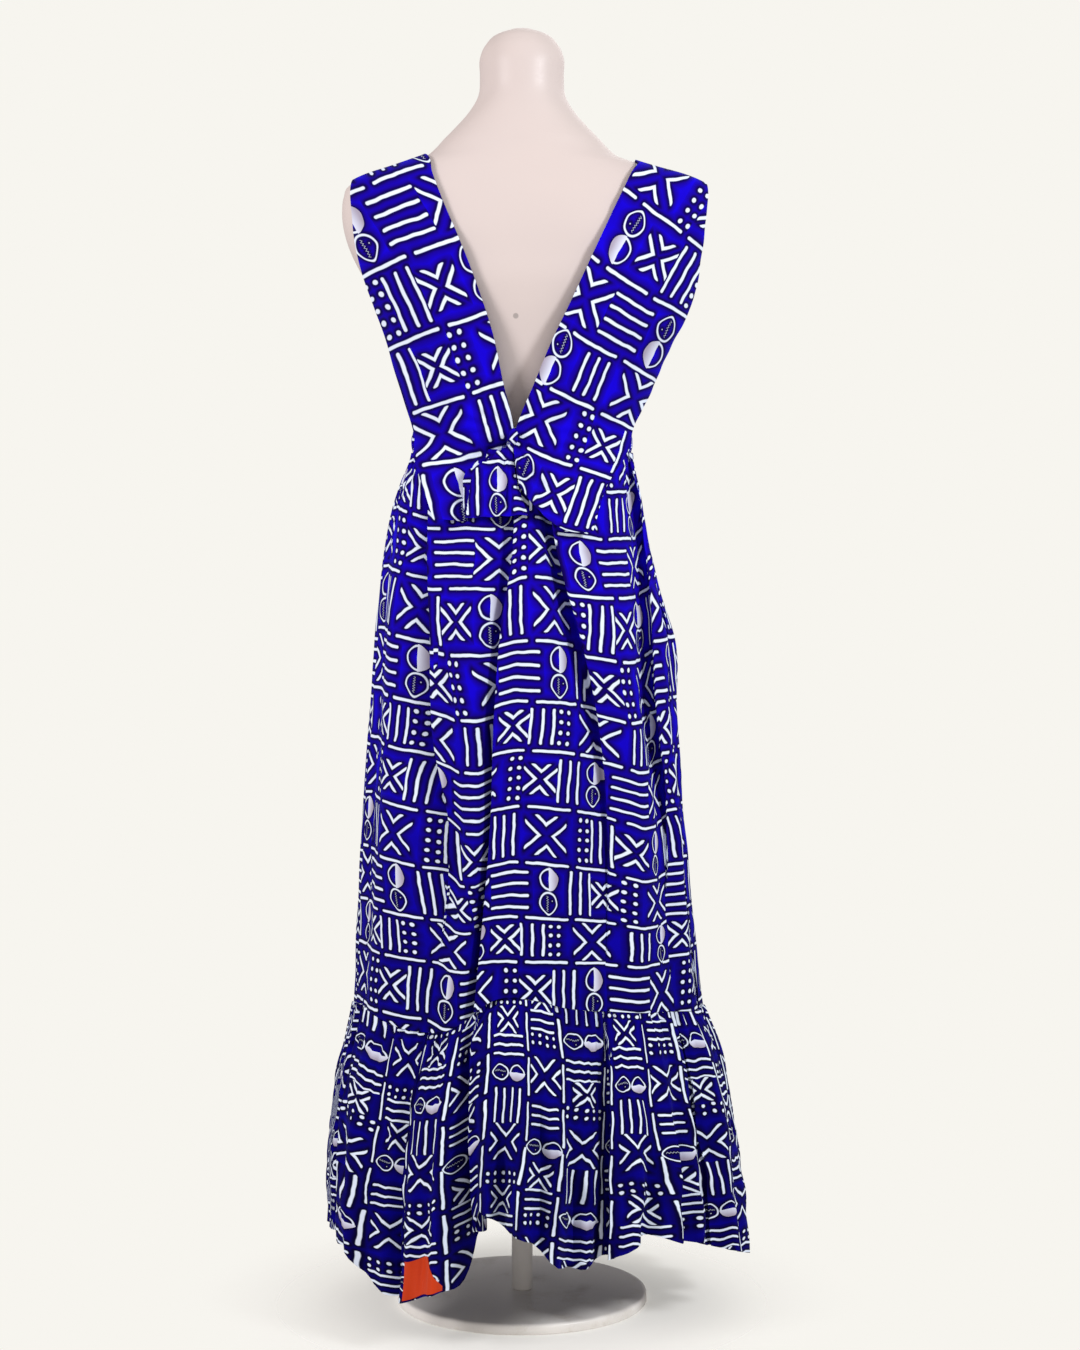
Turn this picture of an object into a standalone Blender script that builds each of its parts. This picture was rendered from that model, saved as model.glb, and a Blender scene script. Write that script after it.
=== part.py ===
"""Wax print maxi dress with a knotted V back, worn on a limbless dress form on a round stand.

Metres, +Z up. The origin is the centre of the stand's underside, on the floor. The knotted back faces -Y,
the plain front faces +Y, and +X is to the right of someone who looks at the knotted back.

Angles round the body are measured from -Y, positive towards +X: 0 is the middle of the back, 90 the right
side, 180 the middle of the front and -90 the left side. Each piece of cloth is a wall: an outer surface
worked out from its tables, and an inner one a wall's thickness inside it.
"""

import math

import bmesh
import bpy
import numpy as np

# Cloth: its walls, the gap between pieces that are sewn together, and its clearance from the form
WALL = 0.002
SEAM_GAP = 0.0003
FORM_ROOM = 0.0003

# The dress from top to bottom
WAIST_TOP = 1.042
WAIST_BOTTOM = 1.017
RUFFLE_SEAM = 0.356
SHOULDER_INNER = {"left": 1.368, "right": 1.361}
SHOULDER_OUTER = {"left": 1.3385, "right": 1.334}
FRONT_NECK_DEPTH = 0.100

# The knot at the foot of the V
KNOT_CENTRE = (-0.0108, -0.1188, 1.031)
KNOT_SIZE = (0.019, 0.014, 0.024)
KNOT_CREASE = {"depth": 0.16, "width": 0.12}

# The stand under the form
BASE_RADIUS = 0.150
BASE_THICKNESS = 0.012
POLE_RADIUS = 0.0125
COLLAR_RADIUS = 0.030
COLLAR_HEIGHT = 0.025
STAND_BEVEL = 0.003
FORM_BOTTOM = 0.670
FORM_SIDES = 24
ROUND_SIDES = 32

# A row for each level of the dress form: its half width, how far it reaches to the back and to the front,
# how square its outline is (2 is an ellipse), and how far the neck leans to the front
FORM_COLUMNS = ("height", "half_width", "back", "front", "squareness", "lean")
FORM_LEVELS = (
    (1.520, 0.014, 0.015, 0.015, 2.0, 0.019),
    (1.514, 0.030, 0.032, 0.031, 2.0, 0.019),
    (1.502, 0.043, 0.046, 0.044, 2.0, 0.018),
    (1.486, 0.050, 0.053, 0.051, 2.0, 0.016),
    (1.465, 0.050, 0.055, 0.053, 2.0, 0.014),
    (1.440, 0.052, 0.055, 0.053, 2.0, 0.011),
    (1.420, 0.063, 0.056, 0.054, 2.1, 0.007),
    (1.400, 0.080, 0.058, 0.056, 2.2, 0.003),
    (1.385, 0.094, 0.061, 0.058, 2.3, 0.000),
    (1.374, 0.104, 0.064, 0.060, 2.4, 0.000),
    (1.364, 0.117, 0.068, 0.062, 2.5, 0.000),
    (1.356, 0.139, 0.071, 0.065, 2.6, 0.000),
    (1.348, 0.163, 0.074, 0.068, 2.6, 0.000),
    (1.340, 0.188, 0.077, 0.071, 2.6, 0.000),
    (1.331, 0.205, 0.081, 0.074, 2.6, 0.000),
    (1.318, 0.211, 0.086, 0.078, 2.6, 0.000),
    (1.300, 0.213, 0.091, 0.083, 2.6, 0.000),
    (1.275, 0.210, 0.096, 0.090, 2.6, 0.000),
    (1.245, 0.199, 0.099, 0.100, 2.5, 0.000),
    (1.215, 0.181, 0.101, 0.111, 2.4, 0.000),
    (1.190, 0.160, 0.099, 0.117, 2.3, 0.000),
    (1.160, 0.143, 0.095, 0.114, 2.2, 0.000),
    (1.110, 0.129, 0.088, 0.102, 2.2, 0.000),
    (1.065, 0.120, 0.082, 0.094, 2.2, 0.000),
    (1.025, 0.116, 0.080, 0.091, 2.2, 0.000),
    (0.985, 0.119, 0.083, 0.092, 2.2, 0.000),
    (0.930, 0.132, 0.095, 0.096, 2.2, 0.000),
    (0.870, 0.146, 0.107, 0.099, 2.2, 0.000),
    (0.810, 0.153, 0.112, 0.100, 2.2, 0.000),
    (0.760, 0.153, 0.110, 0.098, 2.2, 0.000),
    (0.715, 0.144, 0.102, 0.091, 2.2, 0.000),
    (0.687, 0.128, 0.090, 0.081, 2.2, 0.000),
    (0.674, 0.104, 0.073, 0.066, 2.1, 0.000),
    (FORM_BOTTOM, 0.070, 0.049, 0.044, 2.0, 0.000),
)

# The bodice hangs taut from the shoulders to the waist. A row for each level, below the shoulders' own
DRAPE_COLUMNS = ("height", "left", "right", "back", "front_left", "front_right", "front", "squareness")
DRAPE_LEVELS = (
    (1.245, 0.206, 0.215, 0.110, 0.206, 0.212, 0.113, 2.5),
    (1.215, 0.196, 0.212, 0.111, 0.192, 0.203, 0.123, 2.5),
    (1.190, 0.185, 0.205, 0.111, 0.177, 0.187, 0.127, 2.5),
    (1.165, 0.173, 0.194, 0.111, 0.163, 0.172, 0.125, 2.5),
    (1.135, 0.161, 0.175, 0.110, 0.150, 0.154, 0.120, 2.4),
    (1.100, 0.153, 0.160, 0.110, 0.140, 0.142, 0.113, 2.3),
    (1.070, 0.146, 0.150, 0.110, 0.134, 0.134, 0.108, 2.2),
    (WAIST_TOP, 0.1380, 0.1380, 0.1100, 0.130, 0.130, 0.104, 2.15),
    (1.017, 0.1375, 0.1375, 0.1090, 0.130, 0.130, 0.104, 2.15),
    (0.980, 0.1510, 0.1415, 0.1200, 0.140, 0.140, 0.110, 2.15),
    (0.944, 0.1620, 0.1505, 0.1310, 0.150, 0.150, 0.118, 2.15),
    (0.900, 0.1720, 0.1640, 0.1420, 0.160, 0.160, 0.126, 2.15),
)
# At the shoulders it follows the form, and stands a little further out behind and before the ridge
SLOPE_ROOM = 0.0035
SHOULDER_LEVELS = (1.376, 1.367, 1.359, 1.351, 1.343, 1.334, 1.320, 1.302, 1.278)
RIGHT_OVERHANG = 0.012
OVERHANG_FADES = (1.330, 1.362)

# The skirt without its folds, level by level
SKIRT_COLUMNS = ("height", "left", "right", "back", "front")
SKIRT_LEVELS = (
    (WAIST_TOP, 0.1300, 0.1300, 0.1000, 0.1040),
    (WAIST_BOTTOM, 0.1300, 0.1300, 0.1000, 0.1040),
    (0.980, 0.1430, 0.1360, 0.1100, 0.1110),
    (0.944, 0.1530, 0.1430, 0.1190, 0.1180),
    (0.896, 0.1610, 0.1520, 0.1300, 0.1260),
    (0.848, 0.1665, 0.1630, 0.1380, 0.1320),
    (0.806, 0.1700, 0.1765, 0.1440, 0.1370),
    (0.716, 0.1765, 0.1810, 0.1520, 0.1440),
    (0.596, 0.1855, 0.1890, 0.1620, 0.1540),
    (0.476, 0.1925, 0.2015, 0.1720, 0.1640),
    (RUFFLE_SEAM, 0.1980, 0.2150, 0.1820, 0.1740),
)
SKIRT_SQUARENESS = 2.15
SKIRT_ROWS = (0, 0.04, 0.10, 0.18, 0.27, 0.37, 0.48, 0.61, 0.75, 0.89, 1)

# The folds that hang from the waist. Each row is one fold: the angle of its left edge at five levels, its
# depth in the skirt and at the hem, the ruffle waves in it, and how many columns of the wall draw it
FOLD_COLUMNS = ("waist", "hip", "knee", "seam", "hem", "depth", "hem_depth", "peak", "waves", "wave_height",
                "columns")
FOLD_LEVELS = (WAIST_BOTTOM, 0.800, 0.580, RUFFLE_SEAM, 0.080)
FOLDS = (
    (-76, -74, -72, -72, -72, 0.011, 0.016, 0.35, 3, 0.006, 12),
    (-45, -38, -33, -37, -40, 0.017, 0.034, 0.62, 2, 0.006, 12),
    (-8, -10, -12, -17, -17, 0.018, 0.046, 0.40, 4, 0.009, 18),
    (14, 23, 30, 34, 36, 0.018, 0.024, 0.35, 2, 0.008, 9),
    (42, 47, 55, 60, 61, 0.014, 0.028, 0.35, 2, 0.007, 9),
    (70, 74, 80, 84, 86, 0.010, 0.016, 0.40, 2, 0.007, 8),
    (97, 100, 104, 108, 110, 0.009, 0.018, 0.40, 2, 0.009, 7),
    (124, 126, 130, 134, 136, 0.011, 0.020, 0.40, 2, 0.007, 7),
    (151, 153, 157, 160, 162, 0.010, 0.022, 0.40, 2, 0.008, 7),
    (179, 180, 184, 186, 187, 0.011, 0.018, 0.40, 2, 0.007, 7),
    (207, 208, 211, 213, 214, 0.010, 0.022, 0.40, 2, 0.009, 7),
    (234, 235, 238, 240, 241, 0.009, 0.020, 0.40, 2, 0.008, 7),
    (260, 261, 264, 264, 264, 0.010, 0.018, 0.40, 2, 0.006, 7),
)
FOLD_MEAN = 0.55
# How much of a fold's depth shows at each level
DEPTH_COLUMNS = ("height", "share")
DEPTH_LEVELS = ((WAIST_TOP, 0.0), (WAIST_BOTTOM, 0.10), (0.950, 0.42), (0.880, 0.75), (0.800, 0.95),
                (0.600, 1.0), (0.450, 0.85), (RUFFLE_SEAM, 0.60))
GATHER_HEIGHT = 0.0014
GATHER_LENGTH = 0.10
COLUMNS_IN_A_GATHER = 4

# The back of the skirt is caught up under the knot, so the ruffle's seam rises there. Angle and lift
LIFT_COLUMNS = ("angle", "lift")
SEAM_LIFT = ((-100, 0), (-88, 0.006), (-70, 0.010), (-58, 0.006), (-48, -0.003), (-40, -0.006),
             (-30, -0.004), (-22, 0.006), (-15, 0.025), (-8, 0.038), (-1, 0.039), (7, 0.035), (14, 0.028),
             (22, 0.023), (38, 0.018), (60, 0.010), (84, 0), (120, 0), (180, 0), (260, 0))
# The hem's height above the floor, by angle
HEM_COLUMNS = ("angle", "height")
HEM = ((-91, 0.095), (-78, 0.096), (-64, 0.096), (-56, 0.093), (-51, 0.072), (-46, 0.054), (-38, 0.050),
       (-31, 0.056), (-25, 0.068), (-21, 0.076), (-19, 0.086), (-17, 0.132), (-14, 0.160), (-9, 0.160),
       (-5, 0.146), (-1, 0.143), (3, 0.132), (8, 0.110), (14, 0.098), (20, 0.097), (25, 0.105), (29, 0.119),
       (36, 0.130), (41, 0.122), (47, 0.115), (54, 0.108), (60, 0.098), (70, 0.082), (80, 0.069),
       (88, 0.066), (105, 0.070), (130, 0.080), (160, 0.074), (190, 0.082), (220, 0.078), (250, 0.088),
       (269, 0.095))
# How far the ruffle stands out from its seam, by its share of the way down
FLARE_COLUMNS = ("down", "left", "right", "back", "front")
RUFFLE_FLARE = (
    (0.00, 0.000, 0.000, 0.000, 0.000),
    (0.15, 0.010, 0.018, 0.012, 0.010),
    (0.35, 0.021, 0.030, 0.026, 0.022),
    (0.60, 0.029, 0.042, 0.040, 0.034),
    (0.80, 0.031, 0.048, 0.048, 0.040),
    (1.00, 0.028, 0.052, 0.054, 0.044),
)
RUFFLE_ROWS = (0, 0.08, 0.20, 0.36, 0.54, 0.70, 0.845, 1)
WAVE_TOP = 0.0012
WIDE_FOLD = 27

# The side seams run down the ridge of the fold at each side: the fold's row, and its column
RIGHT_SEAM = (5, 4)
LEFT_SEAM = (12, 4)

# The knotted back. Each panel starts at its shoulder seam. Each row here is a place further down: the height
# and the x of its inner and outer edges
PANEL_COLUMNS = ("inner_height", "inner_x", "outer_height", "outer_x")
LEFT_PANEL = (
    (1.363, -0.1110, 1.322, -0.2005),
    (1.337, -0.1030, 1.300, -0.1990),
    (1.302, -0.0900, 1.262, -0.1950),
    (1.262, -0.0730, 1.225, -0.1870),
    (1.205, -0.0510, 1.185, -0.1730),
    (1.150, -0.0330, 1.140, -0.1570),
    (1.085, -0.0190, 1.090, -0.1430),
    (1.031, -0.0150, 1.041, -0.1270),
    (0.990, -0.0080, 0.992, -0.1140),
    (0.940, 0.0080, 0.934, -0.0965),
)
RIGHT_PANEL = (
    (1.356, 0.1350, 1.322, 0.2190),
    (1.335, 0.1260, 1.300, 0.2170),
    (1.290, 0.1050, 1.262, 0.2130),
    (1.240, 0.0820, 1.222, 0.2080),
    (1.190, 0.0590, 1.180, 0.1960),
    (1.140, 0.0350, 1.135, 0.1730),
    (1.085, 0.0100, 1.080, 0.1490),
    (1.031, -0.0060, 1.042, 0.1290),
    (1.000, -0.0050, 1.012, 0.1170),
    (0.988, -0.0040, 0.975, 0.0955),
    (0.972, -0.0020, 0.920, 0.0790),
)
RIGHT_HEM_BOW = -0.018
RIGHT_OVER_LEFT = 0.0045
PANEL_ROWS = (0, 0.0012, 0.006, 0.015, 0.032, 0.065, 0.12, 0.20, 0.29, 0.39, 0.49, 0.59, 0.68, 0.75,
              0.80, 0.85, 0.90, 0.95, 1)
# Folds that fan out from the knot: how many, how far across the panel they reach, and their height, with
# the share of the way down where the knot is and the number of columns
LEFT_FAN = {"folds": 3, "reach": 0.62, "height": 0.0045, "knot": 0.787, "columns": 18}
RIGHT_FAN = {"folds": 2, "reach": 0.42, "height": 0.0030, "knot": 0.850, "columns": 18}
# The folds start just above the knot, reach their full height below it, and end short of their reach
FAN_START = -0.03
FAN_FULL = 0.06
FAN_END = 0.75
# How much the columns crowd together at the knot, and over what share of the way down
PINCH = 0.75
PINCH_LENGTH = 0.12
# Where the columns' spacing changes from the flat shoulder's to the hanging cloth's
FLAT_DRAPE = (0.10, 0.40)

# The plain front: how far round its sides reach, as a turn from the middle of the front, by the share of
# the height from the shoulder's tip down to the waist
FRONT_COLUMNS = ("down", "turn")
FRONT_EDGE = ((0, 90), (0.013, 80), (0.037, 74), (0.075, 70), (0.18, 66), (0.33, 64), (0.50, 66),
              (0.67, 73), (0.84, 86), (1, 90))
NECK_ROWS = (0, 0.0032, 0.016, 0.038, 0.077, 0.135, 0.22, 0.34, 0.50, 0.72, 1)
ROWS_UNDER_NECK = 6
NECK_SHARE = 0.46
FRONT_COLUMN_COUNT = 10

# The patch stuck to the hem: the columns of the ruffle that it covers, counted from the fold it is on, and
# its upper and lower edges as shares of the way down the ruffle
PATCH_FOLD = 1
PATCH_COLUMNS = (4, 9)
PATCH_TOP = (0.850, 0.915)
PATCH_BOTTOM = 0.985
PATCH_THICKNESS = 0.001
PATCH_ROOM = 0.0005

# Colour, roughness and metallic value of each finish
FINISHES = {
    "wax_print": ((0.010, 0.000, 0.420, 1), 0.72, 0.0),
    "orange_patch": ((0.700, 0.060, 0.005, 1), 0.55, 0.0),
    "form_shell": ((0.780, 0.640, 0.560, 1), 0.50, 0.0),
    "stand_enamel": ((0.820, 0.800, 0.760, 1), 0.35, 0.0),
}


def named(rows, columns, name):
    """One named column of a table, as an array."""
    return np.array([row[columns.index(name)] for row in rows], float)


def smooth(knots, values, where):
    """A cubic curve through the table's points, level past its ends."""
    order = np.argsort(knots)
    knots, values = np.asarray(knots, float)[order], np.asarray(values, float)[order]
    slopes = np.gradient(values, knots)
    where = np.asarray(where, float)
    left = np.clip(np.searchsorted(knots, where, side="right") - 1, 0, len(knots) - 2)
    span = knots[left + 1] - knots[left]
    share = np.clip((where - knots[left]) / span, 0, 1)
    square, cube = share**2, share**3
    return ((2 * cube - 3 * square + 1) * values[left] + (3 * square - 2 * cube) * values[left + 1]
            + (cube - 2 * square + share) * span * slopes[left] + (cube - square) * span * slopes[left + 1])


def look_up(rows, columns, name, where):
    """A named column of a table read at any place along its first column."""
    return smooth(named(rows, columns, columns[0]), named(rows, columns, name), where)


def rise(value, start, end):
    """0 before start, 1 after end, and smooth in between."""
    share = np.clip((value - start) / (end - start), 0, 1)
    return share * share * (3 - 2 * share)


def outline_radius(angle, left, right, back, front, squareness):
    """Distance from the axis to a rounded outline, in the direction of an angle in radians."""
    half = np.where(np.sin(angle) < 0, left, right)
    depth = np.where(np.cos(angle) > 0, back, front)
    across = np.abs(np.sin(angle) / half) ** squareness
    along = np.abs(np.cos(angle) / depth) ** squareness
    return (across + along) ** (-1 / squareness)


def by_angle(radius, angle, height):
    """Points at a radius and an angle round the body."""
    return np.stack([radius * np.sin(angle), -radius * np.cos(angle), height + 0 * radius], -1)


# The drape: the surface that the bodice's cloth lies on, from the shoulders to the hips


def drape_levels():
    """The taut levels below, and at the shoulders the form's own levels with room and a wall added."""
    out = FORM_ROOM + WALL
    rows = list(DRAPE_LEVELS)
    for height in SHOULDER_LEVELS:
        half, back, front, square = (
            float(look_up(FORM_LEVELS, FORM_COLUMNS, name, height - out))
            for name in ("half_width", "back", "front", "squareness")
        )
        right = half + out + RIGHT_OVERHANG * (1 - float(rise(height, *OVERHANG_FADES)))
        rows.append((height, half + out, right, back + out + SLOPE_ROOM, half + out, right,
                     front + out + SLOPE_ROOM, square))
    return tuple(rows)


DRAPE = drape_levels()


def drape_halves(side, height, facing):
    """The half width on the left or right (side -1 or 1) of the drape's back or front (facing 1 or -1)."""
    prefix = "" if facing > 0 else "front_"
    left, right = (look_up(DRAPE, DRAPE_COLUMNS, prefix + name, height) for name in ("left", "right"))
    return np.where(np.asarray(side) < 0, left, right)


def on_drape(turn, height, facing):
    """A point of the drape. turn is the parameter of its outline: 0 in the middle of the back or front, and
    90 at the widest point, which at the shoulders is the ridge."""
    sine, cosine = np.sin(np.radians(turn)), np.cos(np.radians(turn))
    square = look_up(DRAPE, DRAPE_COLUMNS, "squareness", height)
    depth = look_up(DRAPE, DRAPE_COLUMNS, "back" if facing > 0 else "front", height)
    across = drape_halves(sine, height, facing) * np.sign(sine) * np.abs(sine) ** (2 / square)
    along = -facing * depth * np.clip(cosine, 0, 1) ** (2 / square)
    return np.stack([across, along, height + 0 * across], -1)


def turn_of(x, height, facing):
    """The turn of the point of the drape that lies at x."""
    share = np.clip(np.abs(x) / drape_halves(x, height, facing), 0, 1)
    square = look_up(DRAPE, DRAPE_COLUMNS, "squareness", height)
    return np.sign(x) * np.degrees(np.arcsin(share ** (square / 2)))


def x_of(turn, height, facing):
    return on_drape(turn, height, facing)[..., 0]


def blend_edges(across, down, inner, outer, top, bottom):
    """Coons patch: the grid of pairs that runs between four edges, each a function of a share along it."""
    u, v = across[..., None], down[..., None]
    start, end = 0 * across, 0 * across + 1
    corners = ((1 - u) * (1 - v) * top(start) + u * (1 - v) * top(end)
               + (1 - u) * v * bottom(start) + u * v * bottom(end))
    return (1 - v) * top(across) + v * bottom(across) + (1 - u) * inner(down) + u * outer(down) - corners


def panel_surface(across, down, edges, facing):
    """The drape inside four edges of (x, height). The columns are spaced by x near the shoulders, where the
    drape faces upwards, and by the turn below."""
    by_x = blend_edges(across, down, *edges)
    height = by_x[..., 1]

    def turned_edge(edge):
        def as_turn(share):
            x, level = np.moveaxis(edge(share), -1, 0)
            return np.stack([turn_of(x, level, facing), level], -1)
        return as_turn

    by_turn = blend_edges(across, down, *(turned_edge(edge) for edge in edges))
    mix = rise(down, *FLAT_DRAPE)
    turn = turn_of(by_x[..., 0], height, facing) * (1 - mix) + by_turn[..., 0] * mix
    return on_drape(turn, height, facing)


# Walls


def surface_normals(grid):
    """Unit normals of a grid of points, with the rows as its first direction and the columns its second."""
    down = np.gradient(grid, axis=0)
    across = np.gradient(grid, axis=1)
    normal = np.cross(down, across)
    return normal / np.linalg.norm(normal, axis=-1, keepdims=True)


def level_normals(grid):
    """Outward unit normals of a closed tube, kept level so that its ends stay in their own planes."""
    along = np.roll(grid, -1, axis=1) - np.roll(grid, 1, axis=1)
    normal = np.stack([along[..., 1], -along[..., 0], 0 * along[..., 0]], -1)
    return normal / np.linalg.norm(normal, axis=-1, keepdims=True)


def mesh_object(name, points, faces, finish):
    """A named object from points and faces, shaded smooth, with its own material."""
    shape = bmesh.new()
    corners = [shape.verts.new(point) for point in points]
    for face in faces:
        shape.faces.new([corners[i] for i in face])
    bmesh.ops.recalc_face_normals(shape, faces=shape.faces)
    mesh = bpy.data.meshes.new(name)
    shape.to_mesh(mesh)
    shape.free()
    return dressed(name, mesh, finish)


def dressed(name, mesh, finish):
    """The mesh as an object in the scene, with the finish's material."""
    mesh.shade_smooth()
    mesh.set_sharp_from_angle(angle=math.radians(40))
    colour, roughness, metallic = FINISHES[finish]
    material = bpy.data.materials.new(f"{name}_{finish}")
    material.use_nodes = True
    shader = material.node_tree.nodes["Principled BSDF"]
    shader.inputs["Base Color"].default_value = colour
    shader.inputs["Roughness"].default_value = roughness
    shader.inputs["Metallic"].default_value = metallic
    mesh.materials.append(material)
    item = bpy.data.objects.new(name, mesh)
    bpy.context.collection.objects.link(item)
    return item


def grid_faces(rows, columns, ring=False):
    """The four-sided faces of a grid of points, numbered row by row."""
    faces = []
    for i in range(rows - 1):
        for j in range(columns if ring else columns - 1):
            k = (j + 1) % columns
            upper, lower = i * columns, (i + 1) * columns
            faces.append((upper + j, upper + k, lower + k, lower + j))
    return faces


def wall_object(name, outer, inner, finish, faces=None):
    """A wall between two like surfaces, with a rim wherever the surface ends."""
    faces = faces or grid_faces(*outer.shape[:2])
    outer, inner = outer.reshape(-1, 3), inner.reshape(-1, 3)
    used = sorted({i for face in faces for i in face})
    number = {old: new for new, old in enumerate(used)}
    faces = [tuple(number[i] for i in face) for face in faces]
    count = len(used)
    sides = [(face[i - 1], face[i]) for face in faces for i in range(4)]
    there = set(sides)
    rim = [(b, a, a + count, b + count) for a, b in sides if (b, a) not in there]
    inside = [tuple(i + count for i in reversed(face)) for face in faces]
    return mesh_object(name, np.concatenate([outer[used], inner[used]]), faces + inside + rim, finish)


def cut_panel(grid, start, stop):
    """The columns of a closed tube from start to stop, with half a seam's gap taken off each side."""
    columns = grid.shape[1]
    panel = grid[:, [i % columns for i in range(start, stop + 1)]].copy()
    for edge, inside in ((0, 1), (-1, -2)):
        step = panel[:, inside] - panel[:, edge]
        panel[:, edge] += step / np.linalg.norm(step, axis=-1, keepdims=True) * SEAM_GAP / 2
    return panel


# Skirt, ruffle and waistband, which share the columns of the folds


def fold_columns():
    """For each column of the skirt: its fold, its share of the way across it, and its gathers' phase."""
    fold, share, gather = [], [], []
    for index, count in enumerate(named(FOLDS, FOLD_COLUMNS, "columns").astype(int)):
        for step in range(count):
            fold.append(index)
            share.append(step / count)
            gather.append(step / COLUMNS_IN_A_GATHER)
    return np.array(fold), np.array(share), np.array(gather)


FOLD, SHARE, GATHER = fold_columns()


def fold_value(name):
    """A column of the fold table, blended across each fold to the next one's value."""
    values = named(FOLDS, FOLD_COLUMNS, name)
    following = np.roll(values, -1)
    return values[FOLD] * (1 - SHARE) + following[FOLD] * SHARE


def column_angle(height):
    """The angle of every column at the heights given, one row of angles for each row of heights."""
    edges = []
    for name in FOLD_COLUMNS[:5]:
        values = named(FOLDS, FOLD_COLUMNS, name)
        following = np.append(values[1:], values[0] + 360)
        edges.append(values[FOLD] * (1 - SHARE) + following[FOLD] * SHARE)
    levels = np.array(FOLD_LEVELS)
    angle = np.zeros_like(height)
    for column in range(len(FOLD)):
        angle[:, column] = smooth(levels, [edge[column] for edge in edges], height[:, column])
    return np.radians(angle)


def fold_profile():
    """A fold across its width: a quick rise from its left edge to the ridge, then a long fall."""
    peak = named(FOLDS, FOLD_COLUMNS, "peak")[FOLD]
    climb = np.sin(math.pi / 2 * SHARE / peak) ** 2
    fall = np.cos(math.pi / 2 * (SHARE - peak) / (1 - peak)) ** 2
    return np.where(SHARE < peak, climb, fall) - FOLD_MEAN


def periodic(rows, columns, name, degrees):
    """A table by angle, read all the way round."""
    knots, values = named(rows[:-1], columns, columns[0]), named(rows[:-1], columns, name)
    knots = np.concatenate([knots - 360, knots, knots + 360])
    return smooth(knots, np.tile(values, 3), degrees)


def seam_angles():
    return column_angle(np.full((1, len(FOLD)), RUFFLE_SEAM))[0]


def seam_heights():
    """The height of the ruffle's seam at each column."""
    return RUFFLE_SEAM + periodic(SEAM_LIFT, LIFT_COLUMNS, "lift", np.degrees(seam_angles()))


def level_radius(height, angle):
    """The skirt's radius without folds."""
    sizes = [look_up(SKIRT_LEVELS, SKIRT_COLUMNS, name, height) for name in SKIRT_COLUMNS[1:]]
    return outline_radius(angle, *sizes, SKIRT_SQUARENESS)


def gathers(height):
    """Small ridges under the waistband, which die away down the skirt."""
    fade = np.exp(-(WAIST_TOP - height) / GATHER_LENGTH)
    return GATHER_HEIGHT * fade * np.sin(2 * math.pi * GATHER)


def skirt_grid():
    """The skirt's outer surface, from the waistband to the ruffle's seam."""
    down = np.array(SKIRT_ROWS)[:, None]
    top = WAIST_BOTTOM - SEAM_GAP
    height = top + (seam_heights() - top) * down
    level = top + (RUFFLE_SEAM - top) * down + 0 * height
    angle = column_angle(level)
    share = look_up(DEPTH_LEVELS, DEPTH_COLUMNS, "share", level)
    folds = fold_value("depth") * share * fold_profile()
    return by_angle(level_radius(level, angle) + folds + gathers(level), angle, height)


def waistband_grid():
    """The elastic casing: the skirt's top ring carried straight up."""
    ring = skirt_grid()[0]
    levels = (WAIST_TOP, WAIST_BOTTOM)
    return np.stack([np.column_stack([ring[:, :2], np.full(len(ring), level)]) for level in levels])


def wave_profile(down):
    """The ruffle's waves, deeper towards the hem, and shallower in a narrow fold."""
    edges = named(FOLDS, FOLD_COLUMNS, "hem")
    width = (np.append(edges[1:], edges[0] + 360) - edges)[FOLD]
    waves = named(FOLDS, FOLD_COLUMNS, "waves")[FOLD]
    room = np.clip(width / waves * 2 / WIDE_FOLD, 0, 1)
    height = WAVE_TOP + (fold_value("wave_height") - WAVE_TOP) * rise(down, 0, 1)
    return height * room * np.sin(2 * math.pi * waves * SHARE - math.pi / 3)


def ruffle_surface(down):
    """The ruffle's outer surface at shares of the way down, one row of columns for each."""
    down = np.asarray(down, float)[:, None]
    angle = column_angle(RUFFLE_SEAM + (FOLD_LEVELS[-1] - RUFFLE_SEAM) * (down + 0 * SHARE))
    top = seam_heights() - SEAM_GAP
    hem = periodic(HEM, HEM_COLUMNS, "height", np.degrees(angle))
    height = top + (hem - top) * down
    sizes = [look_up(SKIRT_LEVELS, SKIRT_COLUMNS, name, RUFFLE_SEAM)
             + look_up(RUFFLE_FLARE, FLARE_COLUMNS, name, down) for name in FLARE_COLUMNS[1:]]
    radius = outline_radius(angle, *sizes, SKIRT_SQUARENESS)
    share = DEPTH_LEVELS[-1][1]
    depth = fold_value("depth") * share * (1 - down) + fold_value("hem_depth") * down
    waves = wave_profile(down) * rise(down, 0, RUFFLE_ROWS[1]) + gathers(RUFFLE_SEAM) * (1 - down)
    return by_angle(radius + depth * fold_profile() + waves, angle, height)


def column_number(seam):
    fold, column = seam
    return int(named(FOLDS, FOLD_COLUMNS, "columns")[:fold].sum()) + column


def make_skirt():
    """Waistband in one ring; skirt and ruffle each in a back and a front, with seams at the sides."""
    band = waistband_grid()
    faces = grid_faces(*band.shape[:2], ring=True)
    wall_object("waistband", band, band - WALL * level_normals(band), "wax_print", faces)
    right, left = column_number(RIGHT_SEAM), column_number(LEFT_SEAM)
    whole = len(FOLD)
    for name, outer in (("skirt", skirt_grid()), ("ruffle", ruffle_surface(RUFFLE_ROWS))):
        inner = outer - WALL * level_normals(outer)
        for side, start, stop in (("back", left, right + whole), ("front", right, left)):
            walls = (cut_panel(grid, start, stop) for grid in (outer, inner))
            wall_object(f"{name}_{side}", *walls, "wax_print")


# The bodice


def shoulder_line(side, sign, facing):
    """The shoulder seam, from the neck to the tip: a function of the share along it."""
    start, end = SHOULDER_INNER[side], SHOULDER_OUTER[side]

    def line(share):
        height = start + (end - start) * share
        return np.stack([x_of(90.0 * sign + 0 * share, height, facing), height], -1)
    return line


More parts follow.
